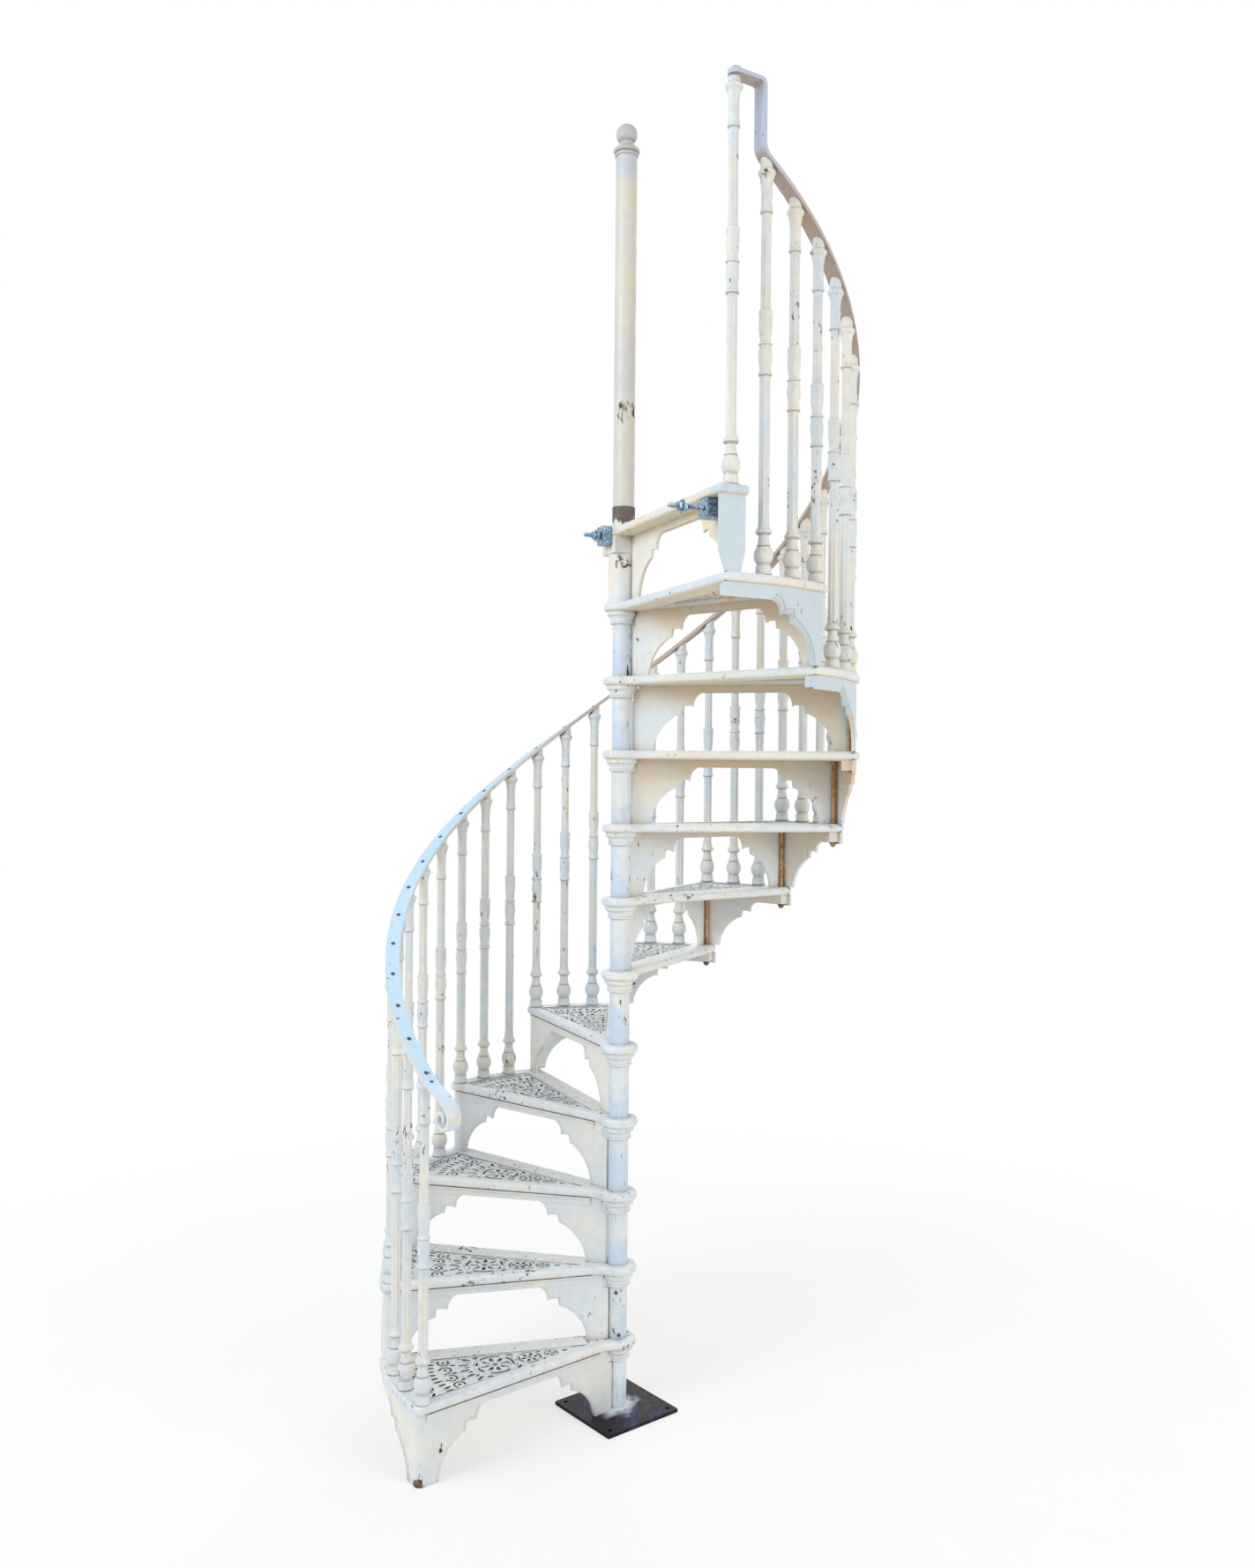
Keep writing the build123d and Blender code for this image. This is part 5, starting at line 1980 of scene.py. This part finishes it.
@dataclass
class Stage:
    """Pale floor, white surroundings, soft lamps and the camera."""

    reach: float = 14.0
    below: float = 0.0005
    fade: tuple[float, float] = (0.9, 3.2)
    lightened: float = 0.55
    floor_white: Colour = (250, 250, 250)
    floor_grey: Colour = (247, 247, 248)
    aim: Point = (0.0, 0.0, 1.7)
    ambient: float = 0.62
    lens: float = 29.87
    eye: Point = (0.028, -3.656, 1.786)
    heading: float = 0.17
    tilt: float = 89.59
    roll: float = 0.49
    lamps: tuple[Lamp, ...] = (
        Lamp("key_lamp", (-3.6, -2.8, 4.2), 3.0, 122.0, (0.87, 0.945, 1.0)),
        Lamp("fill_lamp", (3.6, -2.6, 2.4), 3.0, 56.0, (1.0, 0.965, 0.90)),
        Lamp("back_lamp", (0.6, 3.6, 4.2), 2.6, 46.0, (1.0, 0.99, 0.97)),
    )

    def floor(self) -> None:
        """Lay the floor, which fades to white away from the stair."""
        clear_selection()
        low = (0.0, 0.0, -self.below)
        bpy.ops.mesh.primitive_circle_add(vertices=96, radius=self.reach, fill_type="NGON", location=low)
        made = bpy.context.object
        made.name = "floor"
        bpy.ops.object.transform_apply(location=True, rotation=True, scale=True)
        graph = Graph("pale_floor")
        graph.shader.inputs["Specular IOR Level"].default_value = 0.1
        tone = graph.ramp(graph.noise(3.0, 2.0), 0.3, 0.7, 0.5)
        colour = graph.mix(tone, linear(*self.floor_white), linear(*self.floor_grey))
        self_lit = graph.node("ShaderNodeEmission", {"Color": (1.0, 1.0, 1.0, 1.0), "Strength": 1.0})
        far = graph.node("ShaderNodeVectorMath", {0: graph.place}, operation="LENGTH").outputs["Value"]
        near, away = self.fade
        ray = graph.node("ShaderNodeLightPath").outputs["Is Camera Ray"]
        share = graph.math("ADD", graph.ramp(far, near, away, 1.0 - self.lightened), self.lightened)
        share = graph.math("MULTIPLY", share, ray)
        wanted = {0: share, 1: graph.shader.outputs["BSDF"], 2: self_lit.outputs["Emission"]}
        blend = graph.node("ShaderNodeMixShader", wanted)
        normal = graph.bump(graph.noise(60.0, 2.0), 0.05, 0.0005)
        graph.finish(colour, graph.ramp(graph.noise(4.0), 0.0, 0.2, 0.85), normal)
        graph.tree.links.new(blend.outputs["Shader"], graph.output.inputs["Surface"])
        made.data.materials.append(graph.material)

    def surroundings(self) -> None:
        """Light the world plainly and show it white."""
        world = bpy.data.worlds.new("studio")
        bpy.context.scene.world = world
        world.use_nodes = True
        tree = world.node_tree
        tree.nodes.clear()
        path = tree.nodes.new("ShaderNodeLightPath")
        seen = tree.nodes.new("ShaderNodeMath")
        seen.operation = "MAXIMUM"
        seen_all = tree.nodes.new("ShaderNodeMath")
        seen_all.operation = "MAXIMUM"
        strength = tree.nodes.new("ShaderNodeMapRange")
        strength.inputs["To Min"].default_value = self.ambient
        strength.inputs["To Max"].default_value = 1.0
        light = tree.nodes.new("ShaderNodeBackground")
        light.inputs["Color"].default_value = (1.0, 1.0, 1.0, 1.0)
        output = tree.nodes.new("ShaderNodeOutputWorld")
        tree.links.new(path.outputs["Is Camera Ray"], seen.inputs[0])
        tree.links.new(path.outputs["Is Glossy Ray"], seen.inputs[1])
        tree.links.new(seen.outputs["Value"], seen_all.inputs[0])
        tree.links.new(path.outputs["Is Transmission Ray"], seen_all.inputs[1])
        tree.links.new(seen_all.outputs["Value"], strength.inputs["Value"])
        tree.links.new(strength.outputs["Result"], light.inputs["Strength"])
        tree.links.new(light.outputs["Background"], output.inputs["Surface"])

    def lights(self) -> None:
        """Hang the soft lamps."""
        for wanted in self.lamps:
            lamp = bpy.data.lights.new(wanted.name, "AREA")
            lamp.shape = "DISK"
            lamp.size = wanted.size
            lamp.energy = wanted.power
            lamp.color = wanted.colour
            hung = bpy.data.objects.new(wanted.name, lamp)
            bpy.context.scene.collection.objects.link(hung)
            aim = (Vector(self.aim) - Vector(wanted.place)).to_track_quat("-Z", "Y")
            hung.matrix_world = Matrix.Translation(wanted.place) @ aim.to_matrix().to_4x4()

    def camera(self) -> None:
        """Set up the camera."""
        lens = bpy.data.cameras.new("camera")
        lens.lens = self.lens
        lens.sensor_width = 36.0
        eye = bpy.data.objects.new("camera", lens)
        bpy.context.scene.collection.objects.link(eye)
        turn = Matrix.Rotation(math.radians(self.heading), 4, "Z")
        tip = Matrix.Rotation(math.radians(self.tilt), 4, "X")
        lean = Matrix.Rotation(math.radians(self.roll), 4, "Z")
        eye.matrix_world = Matrix.Translation(self.eye) @ turn @ tip @ lean
        bpy.context.scene.camera = eye

    def build(self) -> None:
        """Build the whole stage."""
        self.floor()
        self.surroundings()
        self.lights()
        self.camera()
        bpy.context.scene.view_settings.view_transform = "Standard"


# ---------------------------------------------------------------- CAD nodes
@dataclass
class CastParts:
    """Finishes for the CAD nodes that stay as they are."""

    nodes: dict[str, bpy.types.Object]

    def paint(self, prefix: str, material: bpy.types.Material) -> None:
        """Finish every node whose name starts with a prefix.

        Args:
            prefix: Start of the nodes' names.
            material: Their finish.
        """
        count = 0
        for name, obj in self.nodes.items():
            if name.startswith(prefix):
                for slot in obj.material_slots:
                    slot.material = material
                count += 1
        log.info("finished %d nodes named %s", count, prefix)


def castings() -> dict[str, WornPaint]:
    """Name the paints on the castings.

    Returns:
        The paints by the piece that wears them.
    """
    # Painted light and shade in these paints: the top and underside tones by facing, the tone of faces turned
    # towards -X, the band under each tread, the soiling colours in hollows, the yellowed upper paint and the
    # pale foot of the column.
    tread = WornPaint(
        "tread_paint",
        warm=(236, 235, 228),
        cool=(220, 230, 238),
        topside=(231, 238, 244),
        dirt_and_shade=(128, 106, 90),
        deep=(54, 42, 44),
        coolness=0.6,
        west_light_share=0.35,
        ageing_and_shade=0.35,
        dirt_and_shade_amount=0.8,
        dirt_and_shade_reach=0.012,
        dirt_and_shade_start=0.26,
        depth_of_dirt_and_shade=0.4,
        pierced=0.97,
        streaks=0.25,
        chipping=0.70,
        edge_wear=0.10,
        shine=0.42,
        soundness=0.045,
    )
    riser = WornPaint(
        "riser_paint",
        warm=(234, 233, 226),
        weathered_and_west_lit=(197, 213, 226),
        # painted light on the risers' faces turned towards -X
        west_light=(244, 240, 230),
        dirt_and_shade=(196, 166, 122),
        streak=(208, 207, 198),
        coolness=0.6,
        west_light_share=0.5,
        ageing_and_shade=0.8,
        dirt_and_shade_amount=0.6,
        # painted shade under each tread, stronger higher up
        band=0.6,
        depth_of_dirt_and_shade=0.3,
        chipping=0.22,
        chip_shape=(1.0, 1.0, 0.55),
        rinsed_from=0.600,
        unshaded_above=2.275,
        patches=(
            ((-0.004, -0.044, 2.372), 0.034),
            ((-0.49, -0.42, 0.004), 0.028),
            ((-0.44, -0.385, 0.085), 0.022),
        ),
    )
    column = WornPaint(
        "column_paint",
        warm=(232, 232, 227),
        cool=(216, 228, 238),
        weathered_and_west_lit=(196, 214, 234),
        streak=(180, 192, 206),
        coolness=0.5,
        west_light_share=0.3,
        washed=0.7,
        ageing_and_shade=0.35,
        streaks=0.5,
        chipping=0.80,
        chip_shape=(1.2, 1.2, 0.35),
        # painted light on the column's foot
        lit_foot=(232, 246, 255),
    )
    baluster = WornPaint(
        "baluster_paint",
        warm=(234, 231, 221),
        cool=(214, 224, 234),
        aged_and_shaded=(232, 222, 198),
        underside=(156, 148, 126),
        dirt_and_shade=(140, 132, 108),
        deep=(86, 76, 60),
        coolness=0.5,
        west_light_share=0.3,
        ageing_and_shade=0.4,
        dirt_and_shade_amount=0.95,
        dirt_and_shade_reach=0.007,
        dirt_and_shade_start=0.10,
        depth_of_dirt_and_shade=0.9,
        chipping=0.62,
        chip_shape=(1.2, 1.2, 0.5),
    )
    newel = WornPaint(
        "newel_paint",
        warm=(220, 213, 200),
        cool=(206, 208, 208),
        topside=(186, 188, 190),
        aged_and_shaded=(228, 216, 196),
        weathered_and_west_lit=(190, 200, 216),
        chip=(70, 62, 84),
        rust=(108, 92, 88),
        coolness=0.45,
        west_light_share=0.4,
        ageing_and_shade=0.4,
        dirt_and_shade_amount=0.6,
        dirt_and_shade_reach=0.012,
        streaks=0.4,
        chipping=0.2,
        chip_shape=(1.0, 1.0, 0.4),
        patches=(((0.004, -0.030, 2.800), 0.055),),
        cool_above=3.42,
    )
    finial = WornPaint(
        "finial_paint",
        warm=(196, 196, 194),
        cool=(180, 187, 196),
        topside=(180, 186, 194),
        aged_and_shaded=(200, 196, 186),
        underside=(150, 142, 130),
        weathered_and_west_lit=(184, 194, 208),
        dirt_and_shade=(142, 134, 118),
        coolness=0.55,
        ageing_and_shade=0.3,
        dirt_and_shade_amount=0.8,
        dirt_and_shade_reach=0.008,
        dirt_and_shade_start=0.14,
        streaks=0.2,
        chipping=0.1,
    )
    return {
        "tread": tread,
        "riser": riser,
        "column": column,
        "baluster": baluster,
        "newel": newel,
        "finial": finial,
    }


def steels() -> dict[str, RustySteel]:
    """Name the bare steels.

    Returns:
        The steels by the piece that is made of them.
    """
    return {
        "screw": RustySteel(
            "screw_steel", steel=(86, 100, 128), rust=(62, 64, 80), dark=(36, 40, 54), rusted=0.5
        ),
        "rod": RustySteel(
            "rod_rust", steel=(200, 160, 104), rust=(170, 112, 52), rusted=0.6, nut_radius=0.0053
        ),
        "coupling": RustySteel(
            "coupling_steel", steel=(110, 101, 95), rust=(100, 80, 64), rusted=0.4, drips_at=2.478
        ),
        "pole": RustySteel("pole_steel", steel=(120, 114, 108), rusted=0.2),
    }


def main() -> None:
    """Build the stair's looks in order."""
    logging.basicConfig(level=logging.INFO, format="%(name)s: %(message)s")
    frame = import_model()
    layout = Layout()
    paint = {piece: finish.material() for piece, finish in castings().items()}
    zinc = Zinc().material()
    steel = {piece: finish.material() for piece, finish in steels().items()}
    rail = RailPaint().material()
    parts = CastParts(frame["nodes"])
    for prefix, material in (
        ("base_plate", OiledPlate().material()),
        ("centre_pole", steel["pole"]),
        ("column_sleeves", paint["column"]),
        ("tread_", paint["tread"]),
        ("riser_", paint["riser"]),
        ("landing_strip", paint["riser"]),
        ("landing_sleeve", paint["riser"]),
        ("tie_rods", steel["rod"]),
        ("handrail", rail),
        ("rail_", rail),
        ("newel_coupling", steel["coupling"]),
        ("newel_post", paint["newel"]),
        ("newel_finial", paint["finial"]),
    ):
        parts.paint(prefix, material)
    TurnedBalusters(layout, paint["baluster"]).build()
    TreadRelief(layout, paint["tread"]).build()
    RiserMouldings(layout, paint["riser"]).build()
    Volute(layout, rail).build()
    NewelFinial(paint["finial"]).build()
    Screws(layout, steel["screw"]).build()
    LandingFixings(layout, zinc).build()
    FootWeld(layout, paint["column"]).build()
    Stage().build()
    clear_selection()


if __name__ == "__main__":
    main()
